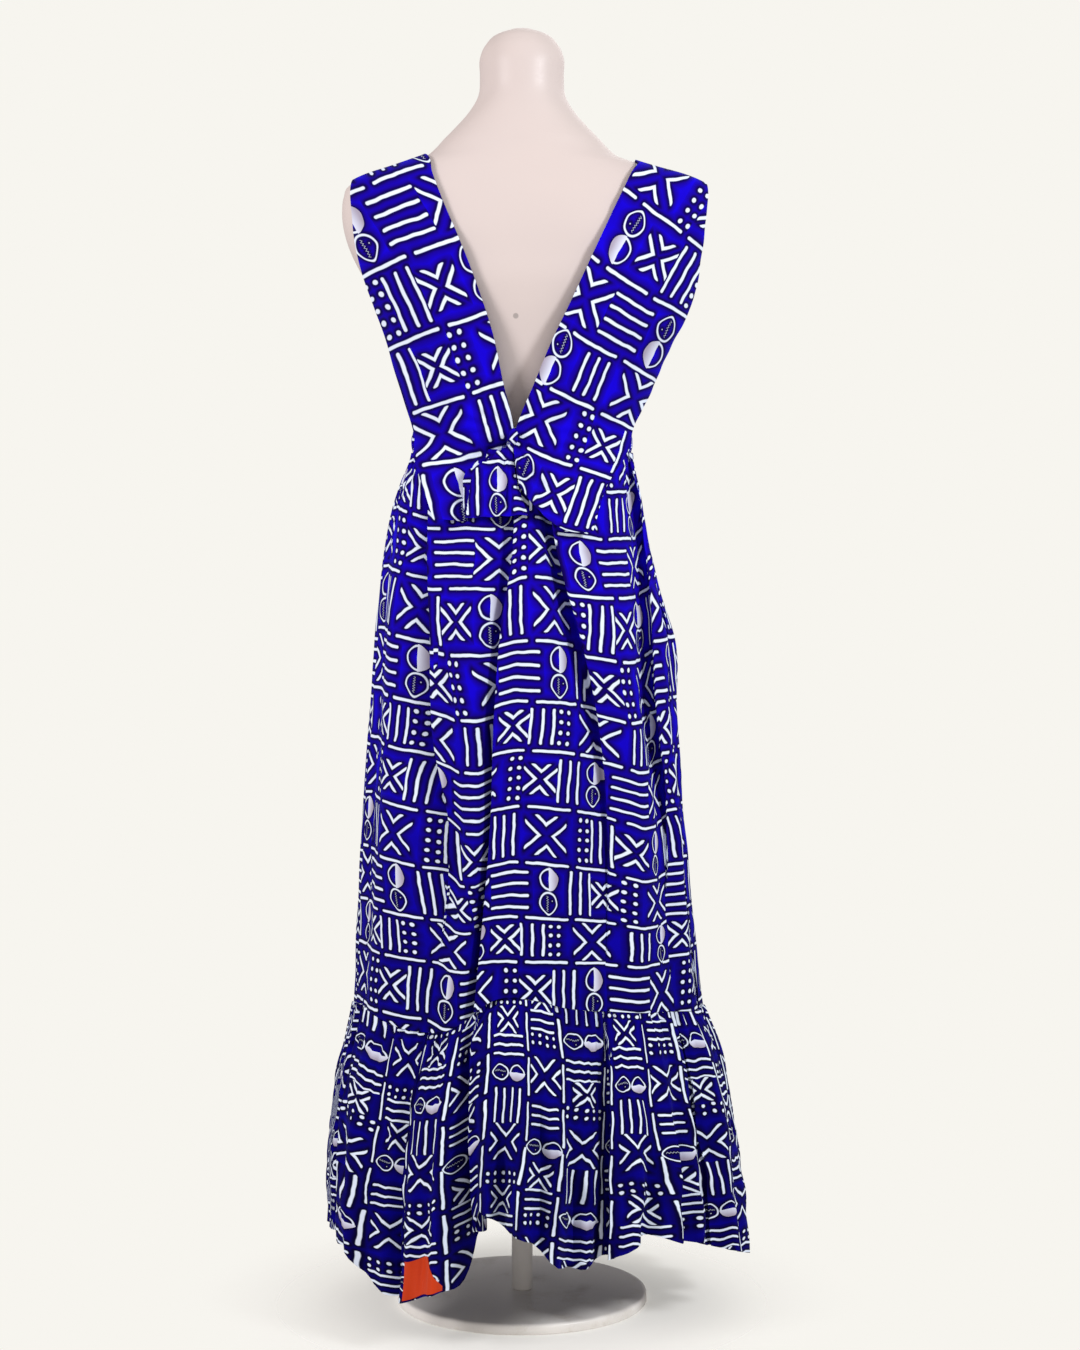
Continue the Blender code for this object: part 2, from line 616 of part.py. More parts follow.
def edge_of(table, edge, start):
    """An edge of a back panel: a function of the share of its height, from the shoulder seam to the hem."""
    xs = np.append(start[0], named(table, PANEL_COLUMNS, f"{edge}_x"))
    heights = np.append(start[1], named(table, PANEL_COLUMNS, f"{edge}_height"))

    def line(share):
        height = start[1] + (heights[-1] - start[1]) * share
        return np.stack([smooth(heights, xs, height), height], -1)
    return line


def back_panel(side, table, fan, hem_bow):
    """The outer surface of one panel of the knotted back: rows from the shoulder to the hem, columns from
    the V's edge outwards. The columns crowd together at the knot and fan out below it, as the folds do."""
    columns = np.linspace(0, 1, fan["columns"] + 1)
    down = np.array(PANEL_ROWS)[:, None] + 0 * columns
    pinch = 1 + PINCH * np.exp(-(((down - fan["knot"]) / PINCH_LENGTH) ** 2))
    across = columns**pinch
    top = shoulder_line(side, np.sign(table[0][1]), 1)
    inner = edge_of(table, "inner", top(np.array(0.0)))
    outer = edge_of(table, "outer", top(np.array(1.0)))

    def bottom(share):
        start, end = inner(np.array(1.0)), outer(np.array(1.0))
        curve = start + (end - start) * share[..., None]
        curve[..., 1] += hem_bow * 4 * share * (1 - share)
        return curve

    grid = panel_surface(across, down, (inner, outer, top, bottom), 1)
    outwards = surface_normals(grid)
    outwards *= -np.sign(outwards[len(PANEL_ROWS) // 2, fan["columns"] // 2, 1])
    near = np.clip((down - fan["knot"] - FAN_START) / (FAN_FULL - FAN_START), 0, 1)
    ends = 1 - rise(columns, fan["reach"] * FAN_END, fan["reach"])
    waves = 0.5 - 0.5 * np.cos(2 * math.pi * fan["folds"] * columns / fan["reach"])
    return grid + outwards * (fan["height"] * near * ends * waves)[..., None], outwards


def panel_walls(grid, outwards, seam_sign):
    """Outer and inner surface of a bodice piece whose first row is the shoulder seam, half a gap from it."""
    outwards = outwards.copy()
    outwards[0, :, 1] = 0
    outwards[0] /= np.linalg.norm(outwards[0], axis=-1, keepdims=True)
    outer, inner = grid.copy(), grid - WALL * outwards
    for surface in (outer, inner):
        surface[0, :, 1] = seam_sign * SEAM_GAP / 2
    return outer, inner


def front_half(side):
    """One half of the plain front: rows from the shoulder down, columns from the neckline, and under it the
    middle of the front, out to the armhole and the side."""
    sign = -1 if side == "left" else 1
    rows = np.append(np.array(NECK_ROWS) * NECK_SHARE, np.linspace(NECK_SHARE, 1, ROWS_UNDER_NECK + 1)[1:])
    across = np.linspace(0, 1, FRONT_COLUMN_COUNT + 1) + 0 * rows[:, None]
    down = rows[:, None] + 0 * across
    top = shoulder_line(side, sign, -1)
    neck_x, neck_top = top(np.array(0.0))
    neck_bottom = SHOULDER_INNER["left"] - FRONT_NECK_DEPTH
    waist = WAIST_TOP + SEAM_GAP

    def inner(share):
        sweep = math.pi / 2 * np.clip(share / NECK_SHARE, 0, 1)
        below = np.clip((share - NECK_SHARE) / (1 - NECK_SHARE), 0, 1)
        height = neck_top + (neck_bottom - neck_top) * np.sin(sweep) + (waist - neck_bottom) * below
        return np.stack([np.where(below > 0, 0, neck_x * np.cos(sweep)), height], -1)

    def outer(share):
        height = SHOULDER_OUTER[side] + (waist - SHOULDER_OUTER[side]) * share
        turn = sign * look_up(FRONT_EDGE, FRONT_COLUMNS, "turn", share)
        return np.stack([x_of(turn, height, -1), height], -1)

    def bottom(share):
        turn = 90.0 * sign * share
        return np.stack([x_of(turn, waist + 0 * share, -1), waist + 0 * share], -1)

    grid = panel_surface(across, down, (inner, outer, top, bottom), -1)
    grid[len(NECK_ROWS) - 1:, 0, 0] = 0
    outwards = surface_normals(grid)
    outwards *= np.sign(outwards[len(NECK_ROWS), FRONT_COLUMN_COUNT // 2, 1])
    outwards[len(NECK_ROWS) - 1:, 0, 0] = 0
    outwards[-1, :, 2] = 0
    outwards /= np.linalg.norm(outwards, axis=-1, keepdims=True)
    return panel_walls(grid, outwards, 1)


def make_front():
    """The plain front in one piece: its two halves, joined down the middle under the neckline."""
    halves = [front_half(side) for side in ("left", "right")]
    outer, inner = (np.stack([half[i] for half in halves]) for i in (0, 1))
    rows, columns = outer.shape[1:3]
    faces = []
    for face in grid_faces(rows, columns):
        faces.append(face)
        other = [i + rows * columns for i in reversed(face)]
        joined = [i - rows * columns if (i - rows * columns) % columns == 0
                  and (i - rows * columns) // columns >= len(NECK_ROWS) - 1 else i for i in other]
        faces.append(tuple(joined))
    wall_object("bodice_front", outer, inner, "wax_print", faces)


def make_bodice():
    """Two back panels that meet at the knot, the plain front, and the knot."""
    for name, side, table, fan, bow in (
        ("bodice_back_left", "left", LEFT_PANEL, LEFT_FAN, 0.0),
        ("bodice_back_right", "right", RIGHT_PANEL, RIGHT_FAN, RIGHT_HEM_BOW),
    ):
        grid, outwards = back_panel(side, table, fan, bow)
        if side == "right":
            over = RIGHT_OVER_LEFT * (1 - rise(grid[..., 2], WAIST_BOTTOM, WAIST_TOP + 0.02))
            grid = grid + outwards * over[..., None]
        wall_object(name, *panel_walls(grid, outwards, -1), "wax_print")
    make_front()
    make_knot()


def make_knot():
    """The knot: a small pad of wrapped cloth with a crease round its middle."""
    shape = bmesh.new()
    bmesh.ops.create_uvsphere(shape, u_segments=16, v_segments=9, radius=0.5)
    for corner in shape.verts:
        waist = 1 - KNOT_CREASE["depth"] * math.exp(-((corner.co.z / KNOT_CREASE["width"]) ** 2))
        corner.co.x *= waist
        corner.co.y *= waist
        for axis in range(3):
            corner.co[axis] = corner.co[axis] * KNOT_SIZE[axis] + KNOT_CENTRE[axis]
    mesh = bpy.data.meshes.new("tie_knot")
    shape.to_mesh(mesh)
    shape.free()
    dressed("tie_knot", mesh, "wax_print")


def make_patch():
    """The plain patch stuck to the outside of the hem: the ruffle's own points, moved out."""
    start, stop = (column_number((PATCH_FOLD, column)) for column in PATCH_COLUMNS)
    surface = ruffle_surface(RUFFLE_ROWS)
    normals = level_normals(surface)
    columns = slice(start, stop + 1)
    top = np.linspace(*PATCH_TOP, stop + 1 - start)
    shares = (np.stack([top, (top + PATCH_BOTTOM) / 2, 0 * top + PATCH_BOTTOM]) - RUFFLE_ROWS[-2])
    shares = shares[..., None] / (RUFFLE_ROWS[-1] - RUFFLE_ROWS[-2])
    place, out = (
        grid[-2, columns] * (1 - shares) + grid[-1, columns] * shares for grid in (surface, normals)
    )
    inner = place + out * PATCH_ROOM
    wall_object("hem_patch", inner + out * PATCH_THICKNESS, inner, "orange_patch")


# The dress form and its stand


def make_form():
    """The torso with its neck: a ring of points at each level, joined from one to the next and capped."""
    angle = np.linspace(-math.pi, math.pi, FORM_SIDES, endpoint=False)
    rings = []
    for height, half, back, front, square, lean in FORM_LEVELS:
        ring = by_angle(outline_radius(angle, half, half, back, front, square), angle, height)
        rings.append(ring + np.array([0, lean, 0]))
    shape = bmesh.new()
    corners = [[shape.verts.new(point) for point in ring] for ring in rings]
    for upper, lower in zip(corners, corners[1:]):
        for i in range(FORM_SIDES):
            k = (i + 1) % FORM_SIDES
            shape.faces.new((upper[i], lower[i], lower[k], upper[k]))
    shape.faces.new(corners[0])
    shape.faces.new(corners[-1][::-1])
    bmesh.ops.recalc_face_normals(shape, faces=shape.faces)
    mesh = bpy.data.meshes.new("form_torso")
    shape.to_mesh(mesh)
    shape.free()
    dressed("form_torso", mesh, "form_shell")


def turned(name, profile, finish):
    """A solid of revolution round the pole's axis from its (radius, height) profile, top to bottom."""
    shape = bmesh.new()
    line = [shape.verts.new((radius, 0, height)) for radius, height in profile]
    edges = [shape.edges.new(pair) for pair in zip(line, line[1:])]
    bmesh.ops.spin(shape, geom=line + edges, cent=(0, 0, 0), axis=(0, 0, 1), angle=2 * math.pi,
                   steps=ROUND_SIDES, use_merge=True)
    bmesh.ops.remove_doubles(shape, verts=shape.verts, dist=1e-6)
    bmesh.ops.recalc_face_normals(shape, faces=shape.faces)
    mesh = bpy.data.meshes.new(name)
    shape.to_mesh(mesh)
    shape.free()
    return dressed(name, mesh, finish)


def make_stand():
    """A round base plate, a pole, and the collar that carries the torso."""
    base = ((0, BASE_THICKNESS), (BASE_RADIUS - STAND_BEVEL, BASE_THICKNESS),
            (BASE_RADIUS, BASE_THICKNESS - STAND_BEVEL), (BASE_RADIUS, 0), (0, 0))
    collar_top = FORM_BOTTOM - SEAM_GAP
    collar_bottom = collar_top - COLLAR_HEIGHT
    pole_top, pole_bottom = collar_bottom - SEAM_GAP, BASE_THICKNESS + SEAM_GAP
    pole = ((0, pole_top), (POLE_RADIUS, pole_top), (POLE_RADIUS, pole_bottom), (0, pole_bottom))
    collar = ((0, collar_top), (COLLAR_RADIUS, collar_top), (COLLAR_RADIUS, collar_top - STAND_BEVEL),
              (POLE_RADIUS + STAND_BEVEL, collar_bottom), (0, collar_bottom))
    for name, profile in (("base", base), ("pole", pole), ("collar", collar)):
        turned(f"stand_{name}", profile, "stand_enamel")


def main():
    for item in list(bpy.data.objects):
        bpy.data.objects.remove(item)
    make_form()
    make_stand()
    make_bodice()
    make_skirt()
    make_patch()


main()
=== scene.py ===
import math
from functools import partial

import bpy
import numpy as np
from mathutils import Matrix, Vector


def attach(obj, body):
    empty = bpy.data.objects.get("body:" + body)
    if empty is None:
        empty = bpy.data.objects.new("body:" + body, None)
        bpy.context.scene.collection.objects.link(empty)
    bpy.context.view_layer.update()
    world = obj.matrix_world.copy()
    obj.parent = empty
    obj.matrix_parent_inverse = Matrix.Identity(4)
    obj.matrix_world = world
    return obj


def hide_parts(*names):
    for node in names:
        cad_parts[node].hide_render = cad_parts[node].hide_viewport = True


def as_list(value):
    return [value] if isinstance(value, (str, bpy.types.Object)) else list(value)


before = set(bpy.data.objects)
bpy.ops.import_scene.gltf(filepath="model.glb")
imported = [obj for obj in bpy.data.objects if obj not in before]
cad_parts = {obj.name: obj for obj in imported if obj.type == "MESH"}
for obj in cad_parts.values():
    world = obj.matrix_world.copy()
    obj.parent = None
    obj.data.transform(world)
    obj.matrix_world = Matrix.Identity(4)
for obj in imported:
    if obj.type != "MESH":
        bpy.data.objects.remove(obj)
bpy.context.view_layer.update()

tau = 2 * math.pi

# Everything is in metres, +Z up. The knotted back faces -Y and +X is to its right. Angles round the body
# are measured from -Y, positive towards +X.

bpy.context.scene.view_settings.view_transform = "Standard"  # the photo's colours are plain display colours
bpy.context.scene.view_settings.look = "None"


# Curves, tables and meshes


# a cubic curve through the knots, level past both ends
def smoothCurve(knots, values, where):
    order = np.argsort(knots)
    knots, values = np.asarray(knots, float)[order], np.asarray(values, float)[order]
    slopes = np.gradient(values, knots)
    where = np.asarray(where, float)
    left = np.clip(np.searchsorted(knots, where, side="right") - 1, 0, len(knots) - 2)
    span = knots[left + 1] - knots[left]
    share = np.clip((where - knots[left]) / span, 0, 1)
    square, cube = share**2, share**3
    return ((2 * cube - 3 * square + 1) * values[left] + (3 * square - 2 * cube) * values[left + 1]
            + (cube - 2 * square + share) * span * slopes[left] + (cube - square) * span * slopes[left + 1])


# one named column of a table, read at any place along its first column
def lookUp(table, name, where):
    rows = np.array(table["rows"], float)
    return smoothCurve(rows[:, 0], rows[:, table["columns"].index(name)], where)


# 0 before start, 1 after end, smooth in between: 3s^2 - 2s^3
def rise(value, start, end):
    share = np.clip((value - start) / (end - start), 0, 1)
    return share * share * (3 - 2 * share)


# distance from the axis to a superellipse whose four half axes may differ, in the direction of an angle
def outlineRadius(angle, left, right, back, front, squareness):
    half = np.where(np.sin(angle) < 0, left, right)
    depth = np.where(np.cos(angle) > 0, back, front)
    across = np.abs(np.sin(angle) / half) ** squareness
    along = np.abs(np.cos(angle) / depth) ** squareness
    return (across + along) ** (-1 / squareness)


# points at a radius, an angle and a height: (r sin a, -r cos a, h)
def byAngle(radius, angle, height):
    return np.stack([radius * np.sin(angle), -radius * np.cos(angle), height + 0 * radius], -1)


# unit normals of a grid: the cross product of its slopes down the rows and along the columns
def gridNormals(grid, ring=False):
    down = np.gradient(grid, axis=0)
    if ring:
        across = np.roll(grid, -1, axis=1) - np.roll(grid, 1, axis=1)
    else:
        across = np.gradient(grid, axis=1)
    normal = np.cross(down, across)
    return normal / np.maximum(np.linalg.norm(normal, axis=-1, keepdims=True), 1e-12)


# true where a closed mesh's faces point inwards: the volume that they enclose, with its sign, is below zero
def isInsideOut(points, faces):
    a, b, c, d = np.moveaxis((points - points.mean(axis=0))[faces], 1, 0)
    return np.sum(a * (np.cross(b, c) + np.cross(c, d))) < 0


# a mesh object from points and four-sided faces, with an optional UV pair for each corner
def meshObject(name, points, faces, material, uv=None, closed=True):
    if closed and isInsideOut(points, faces):
        faces = faces[:, ::-1]
        uv = uv if uv is None else uv[:, ::-1]
    mesh = bpy.data.meshes.new(name)
    mesh.vertices.add(len(points))
    mesh.vertices.foreach_set("co", np.asarray(points, np.float32).ravel())
    mesh.loops.add(faces.size)
    mesh.loops.foreach_set("vertex_index", faces.astype(np.int32).ravel())
    mesh.polygons.add(len(faces))
    mesh.polygons.foreach_set("loop_start", np.arange(0, faces.size, 4, dtype=np.int32))
    mesh.polygons.foreach_set("loop_total", np.full(len(faces), 4, np.int32))
    if uv is not None:
        layer = mesh.uv_layers.new(name="print")
        layer.data.foreach_set("uv", np.asarray(uv, np.float32).ravel())
    mesh.update(calc_edges=True)
    mesh.validate()
    mesh.shade_smooth()
    mesh.set_sharp_from_angle(angle=math.radians(60))
    mesh.materials.append(material)
    item = bpy.data.objects.new(name, mesh)
    bpy.context.collection.objects.link(item)
    return item


# the corner numbers of a grid's faces, row by row
def gridFaces(rows, columns, ring=False):
    i, j = np.meshgrid(np.arange(rows - 1), np.arange(columns if ring else columns - 1), indexing="ij")
    k = (j + 1) % columns
    return np.stack([i * columns + j, i * columns + k, (i + 1) * columns + k, (i + 1) * columns + j],
                    -1).reshape(-1, 4)


# the corner numbers of a stack of rings, closed at both ends by strips that join opposite corners
def closedRings(rows, columns):
    i = np.arange(columns // 2 - 1)
    cap = np.stack([i, i + 1, columns - 2 - i, columns - 1 - i], -1)
    return np.concatenate([gridFaces(rows, columns, ring=True), cap[:, ::-1], cap + (rows - 1) * columns])


# a closed sheet: the outer grid, the same grid one thickness inside it, and a rim all round its open edges
def clothShell(name, outer, inwards, uv, material, thickness, ring=False):
    rows, columns = outer.shape[:2]
    count = rows * columns
    face = gridFaces(rows, columns, ring)
    number = np.arange(count).reshape(rows, columns)
    loops = [np.append(number[0], number[0][:1]) if ring else number[0],
             np.append(number[-1], number[-1][:1])[::-1] if ring else number[-1][::-1]]
    if not ring:
        loops = [np.concatenate([number[0], number[1:, -1], number[-1, -2::-1], number[-2:0:-1, 0],
                                 number[0, :1]])]
    rim = np.concatenate([np.stack([line[1:], line[:-1], line[:-1] + count, line[1:] + count], -1)
                          for line in loops])
    faces = np.concatenate([face, face[:, ::-1] + count, rim])
    points = np.concatenate([outer.reshape(-1, 3), (outer + inwards * thickness).reshape(-1, 3)])
    flat = np.tile(uv.reshape(-1, 2), (2, 1))
    corners = flat[faces]
    if ring:  # the last column's faces end where the print goes on, not where it began
        wrapped = (face % columns == 0) & (np.arange(len(face)) % columns == columns - 1)[:, None]
        shift = ring * wrapped[..., None] * np.array([1.0, 0.0])
        corners[:len(face)] += shift
        corners[len(face):2 * len(face)] += shift[:, ::-1]
    return meshObject(name, points, faces, material, corners)


# a solid turned round the vertical axis from (radius, height) pairs, top to bottom, closed at its poles
def turnedObject(name, profile, material, sides=96):
    profile = np.array(profile, float)
    angle = np.linspace(0, tau, sides, endpoint=False)
    grid = byAngle(profile[:, 0][:, None] + 0 * angle, angle + 0 * profile[:, 0][:, None],
                   profile[:, 1][:, None])
    return meshObject(name, grid.reshape(-1, 3), closedRings(len(profile), sides), material)


# Materials


# a display colour such as "1500c8" as linear red, green, blue and alpha
def hexColour(text):
    parts = np.array([int(text[i:i + 2], 16) for i in (0, 2, 4)]) / 255
    linear = np.where(parts <= 0.04045, parts / 12.92, ((parts + 0.055) / 1.055) ** 2.4)
    return (*linear.tolist(), 1.0)


# adds a node of a kind, such as "Math ADD", with its inputs, its ramp's stops and its settings, links it on to
# a socket where one is given, and gives back the output that is asked for
def addNode(tree, kind, inputs=(), stops=None, to=None, output=0, **settings):
    kind, *operation = kind.split()
    node = tree.nodes.new("ShaderNode" + kind)
    if operation:
        settings["operation"] = operation[0]
    for name, value in settings.items():
        setattr(node, name, value)
    for key, value in inputs.items() if isinstance(inputs, dict) else enumerate(inputs):
        if isinstance(value, bpy.types.NodeSocket):
            tree.links.new(value, node.inputs[key])
        else:
            node.inputs[key].default_value = value
    if stops:
        ramp = node.color_ramp
        ramp.interpolation = "CONSTANT" if stops[0] == "steps" else "LINEAR"
        ramp.elements.remove(ramp.elements[-1])  # the ramp's own white end
        for place, colour in stops[1:]:
            element = ramp.elements.new(place) if place > 0 else ramp.elements[0]
            element.position, element.color = place, colour
    if to is not None:
        tree.links.new(node.outputs[output], to)
    return node.outputs[output]


# a material whose plain values are set on its Principled shader's own sockets, with addNode for its tree and
# those sockets
def newMaterial(name, **values):
    material = bpy.data.materials.new(name)
    material.use_nodes = True
    sockets = material.node_tree.nodes["Principled BSDF"].inputs
    for key, value in values.items():
        sockets[key.replace("_", " ")].default_value = value
    return material, partial(addNode, material.node_tree), sockets


# The print: four rows of charted signs, repeated every 232 mm across and 246 mm down. Sizes in mm
printChart = {
    "across": 232.0,
    "down": 246.0,
    "stroke": 2.95,
    "rows": (  # the row's top and bottom, and its signs with the middle of each
        (0.0, 66.0, (("dots", 0), ("smallCross", 28, 17.0), ("bars", 61), ("shells", 97), ("lines", 139),
                     ("largeCross", 186))),
        (66.0, 131.0, (("bars", -10), ("largeCross", 38), ("dots", 84), ("bars", 108),
                       ("smallCross", 141, 17.5), ("shells", 178))),
        (131.0, 192.0, (("lines", -2.5), ("shells", 41.5), ("bars", 80.5), ("smallCross", 110, 14.8),
                        ("dots", 135), ("largeCross", 181))),
        (192.0, 246.0, (("smallCross", -7, 16.5), ("shortBars", 24), ("fewDots", 49), ("largeCross", 95),
                        ("shortBars", 148), ("shells", 188))),
    ),
    "border": {"pitch": 58.0, "middle": 41.0, "length": 50.0},  # the bars along the rows' edges
    "wobble": 2.4,
    "reach": 22.5,  # of a cross that gives none
    "dotsWider": 0.75,  # a dot's radius is this much more than half a stroke
}
# For each sign: half its width and, where it is made of rows and columns of strokes, those as (pitch, count,
# half length of a stroke) across and down. A cross has its reach in the chart, after its middle
printSigns = {
    "dots": (8.0, (10.0, 2, 0.0), (11.6, 5, 0.0)),
    "fewDots": (8.0, (10.0, 2, 0.0), (11.6, 4, 0.0)),
    "bars": (14.5, (12.0, 3, 0.0), (1.0, 1, 23.5)),
    "shortBars": (14.5, (12.0, 3, 0.0), (1.0, 1, 18.5)),
    "lines": (23.0, (1.0, 1, 21.0), (12.8, 4, 0.0)),
    "smallCross": (18.5,),
    "largeCross": (25.0,),
    "shells": (13.5,),
}
printColours = {
    "stroke": "e4f0ff",
    "grey": ("dce2f4", "a9a2b4"),  # from a shell's middle outwards
    "edge": "0e0052",
    "near": "16008e",
    "field": "1500d8",
    "fieldDark": "1400be",
    "deeper": "80789c",  # what the blue of the cloth is multiplied by at the hem, so that it is drawn darker towards the bottom
}
# a cross's four strokes run where | |x| - |y| + lean | = arms - less; lean and arms are shares of its reach,
# less is in mm, and squareEnds is how much sooner than round its strokes end at the reach
crossShape = {"lean": 0.10, "arms": 0.56, "less": 2.5, "squareEnds": 1.4}
shellShape = {  # mm: two ovals above each other, the lower one drawn out to a point
    "middle": 13.7, "halfHeight": 11.9, "halfWidth": 9.7,
    "point": {"length": 15.0, "narrows": 6.0, "power": 1.6, "upper": 0.6},  # upper: its share on the upper oval
    "outline": {"scale": 11.0, "thinner": 0.6},
    "teeth": {"pitch": 1.3, "slope": 1.4, "aside": -2.4, "halfLength": 8.0, "thinner": 1.3},
    "dot": {"at": (3.9, -3.4, 0.0), "smaller": 1.0},
    "grey": {"within": 1.15, "deepest": 9.0},  # within: in the oval's own radii
}
dyeShape = {  # by the distance from a stroke's middle line, mm
    "span": 16.0, "edgeTo": 0.19, "nearFrom": 0.30,  # as shares of the span
    "fieldFrom": 4.5, "fieldAll": 11.0, "softEdge": 0.35,
    "darkerBetween": (0.30, 0.85),  # metres above the floor: the blue is darkened in full below the first height and not at all above the second
}
# a ramp holds 0 to 1, so numbers are kept in its colours as shares of these
rampMost = {"middle": 500.0, "shift": 20.0, "kind": 8, "reach": 50.0, "pitch": 20.0, "count": 8.0,
            "length": 100.0}


# Wax print cotton: plain-woven, dyed through, with white strokes where the wax kept the dye out and a
# darker edge of dye beside each. Matt, with a slight sheen. Every stroke is the set of points nearer than
# half its width to a line, so one distance serves for all signs.
def waxPrintMaterial(name):
    material, add, sockets = newMaterial(name, Roughness=0.85, Sheen_Weight=0.01, Sheen_Roughness=0.5,
                                         Specular_IOR_Level=0.04)
    across, down, stroke = printChart["across"], printChart["down"], printChart["stroke"]
    wobble, most, kinds = printChart["wobble"] * 2, rampMost, list(printSigns)
    inMm = add("VectorMath MULTIPLY", (add("UVMap", uv_map="print"), (1000, 1000, 1000)))
    # the hand-cut stamps' uneven edges, 30 mm from bump to bump
    wave = add("TexNoise", {"Vector": inMm, "Scale": 0.035, "Detail": 2.0, "Roughness": 0.6}, output="Color")
    wave = add("VectorMath SUBTRACT", (wave, (0.5, 0.5, 0.5)))
    moved = add("VectorMath MULTIPLY_ADD", (wave, (wobble, wobble, 0), inMm))
    split = add("SeparateXYZ", (moved,)).node.outputs
    u = add("Math FLOORED_MODULO", (split[0], across))
    v = add("Math FLOORED_MODULO", (split[1], down))
    uShare, vShare = add("Math DIVIDE", (u, across)), add("Math DIVIDE", (v, down))

    # the row that a point is in, and its place in it
    stops = ["steps"] + [(top / down, ((top + bottom) / 2 / down, (bottom - top) / 2 / down, 0, 1))
                         for top, bottom, signs in printChart["rows"]]
    row = add("SeparateColor", (add("ValToRGB", (vShare,), stops),)).node.outputs
    y = add("Math MULTIPLY_ADD", (row[0], -down, v))
    absY = add("Math ABSOLUTE", (y,))
    toBorder = add("Math SUBTRACT", (add("Math MULTIPLY", (row[1], down)), absY))

    # the sign that a point is in: its middle, its kind and a cross's reach
    picked = None
    for top, bottom, signs in printChart["rows"]:
        spread = [(*sign, printChart["reach"])[:3] for sign in signs]
        spread.append((spread[0][0], spread[0][1] + across, spread[0][2]))  # it reaches over the edge
        stops, edge = ["steps"], 0.0
        for (kind, middle, reach), following in zip(spread, spread[1:] + spread[-1:]):
            stops.append((edge / across, ((middle + most["shift"]) / most["middle"],
                                          (kinds.index(kind) + 0.5) / most["kind"], reach / most["reach"], 1)))
            edge = (middle + printSigns[kind][0] + following[1] - printSigns[following[0]][0]) / 2
        signRow = add("ValToRGB", (uShare,), stops)
        if picked is not None:
            signRow = add("MixRGB", (add("Math GREATER_THAN", (v, top)), picked, signRow))
        picked = signRow
    sign = add("SeparateColor", (picked,)).node.outputs
    x = add("Math SUBTRACT", (u, add("Math MULTIPLY_ADD", (sign[0], most["middle"], -most["shift"]))))
    code, reach = sign[1], add("Math MULTIPLY", (sign[2], most["reach"]))
    absX = add("Math ABSOLUTE", (x,))

    # signs made of rows and columns of strokes: the distance to the nearest one
    gaps = []
    for axis, position in ((1, x), (2, y)):
        stops = ["steps"]
        for number, kind in enumerate(kinds):
            pitch, count, length = printSigns[kind][axis] if len(printSigns[kind]) == 3 else (1, 1, 99)
            stops.append((number / most["kind"], (pitch / most["pitch"], count / most["count"],
                                                  length / most["length"], 1)))
        values = add("SeparateColor", (add("ValToRGB", (code,), stops),)).node.outputs
        pitch, count, length = (add("Math MULTIPLY", (values[k], most[key]))
                                for k, key in enumerate(("pitch", "count", "length")))
        last = add("Math SUBTRACT", (count, 1.0))
        nearest = add("Math ADD", (add("Math DIVIDE", (position, pitch)), add("Math MULTIPLY", (count, 0.5))))
        nearest = add("Math MAXIMUM", (add("Math FLOOR", (nearest,)), 0.0))
        nearest = add("Math MINIMUM", (nearest, last))
        offset = add("Math SUBTRACT", (nearest, add("Math MULTIPLY", (last, 0.5))))
        gap = add("Math SUBTRACT", (position, add("Math MULTIPLY", (offset, pitch))))
        gap = add("Math SUBTRACT", (add("Math ABSOLUTE", (gap,)), length))
        gaps.append(add("Math MAXIMUM", (gap, 0.0)))
    strokes = add("VectorMath LENGTH", (add("CombineXYZ", (*gaps, 0.0)),), output="Value")
    isDot = add("Math LESS_THAN", (code, (kinds.index("fewDots") + 1) / most["kind"]))
    strokes = add("Math MULTIPLY_ADD", (isDot, -printChart["dotsWider"], strokes))

    # crosses: | |x| - |y| + a tenth of the reach | = a share of the reach, as far as the reach
    apart = add("Math MULTIPLY_ADD", (reach, crossShape["lean"], add("Math SUBTRACT", (absX, absY))))
    arms = add("Math MULTIPLY_ADD", (reach, crossShape["arms"], -crossShape["less"]))
    apart = add("Math SUBTRACT", (add("Math ABSOLUTE", (apart,)), arms))
    apart = add("Math MULTIPLY", (apart, math.sqrt(0.5)))
    past = add("Math SUBTRACT", (add("Math MAXIMUM", (absX, absY)), reach))
    past = add("Math MULTIPLY", (add("Math MAXIMUM", (past, 0.0)), crossShape["squareEnds"]))
    cross = add("VectorMath LENGTH", (add("CombineXYZ", (apart, past, 0.0)),), output="Value")
    isCross, isShell = (add("Math GREATER_THAN", (code, (kinds.index(kind) + 0.01) / most["kind"]))
                        for kind in ("smallCross", "shells"))

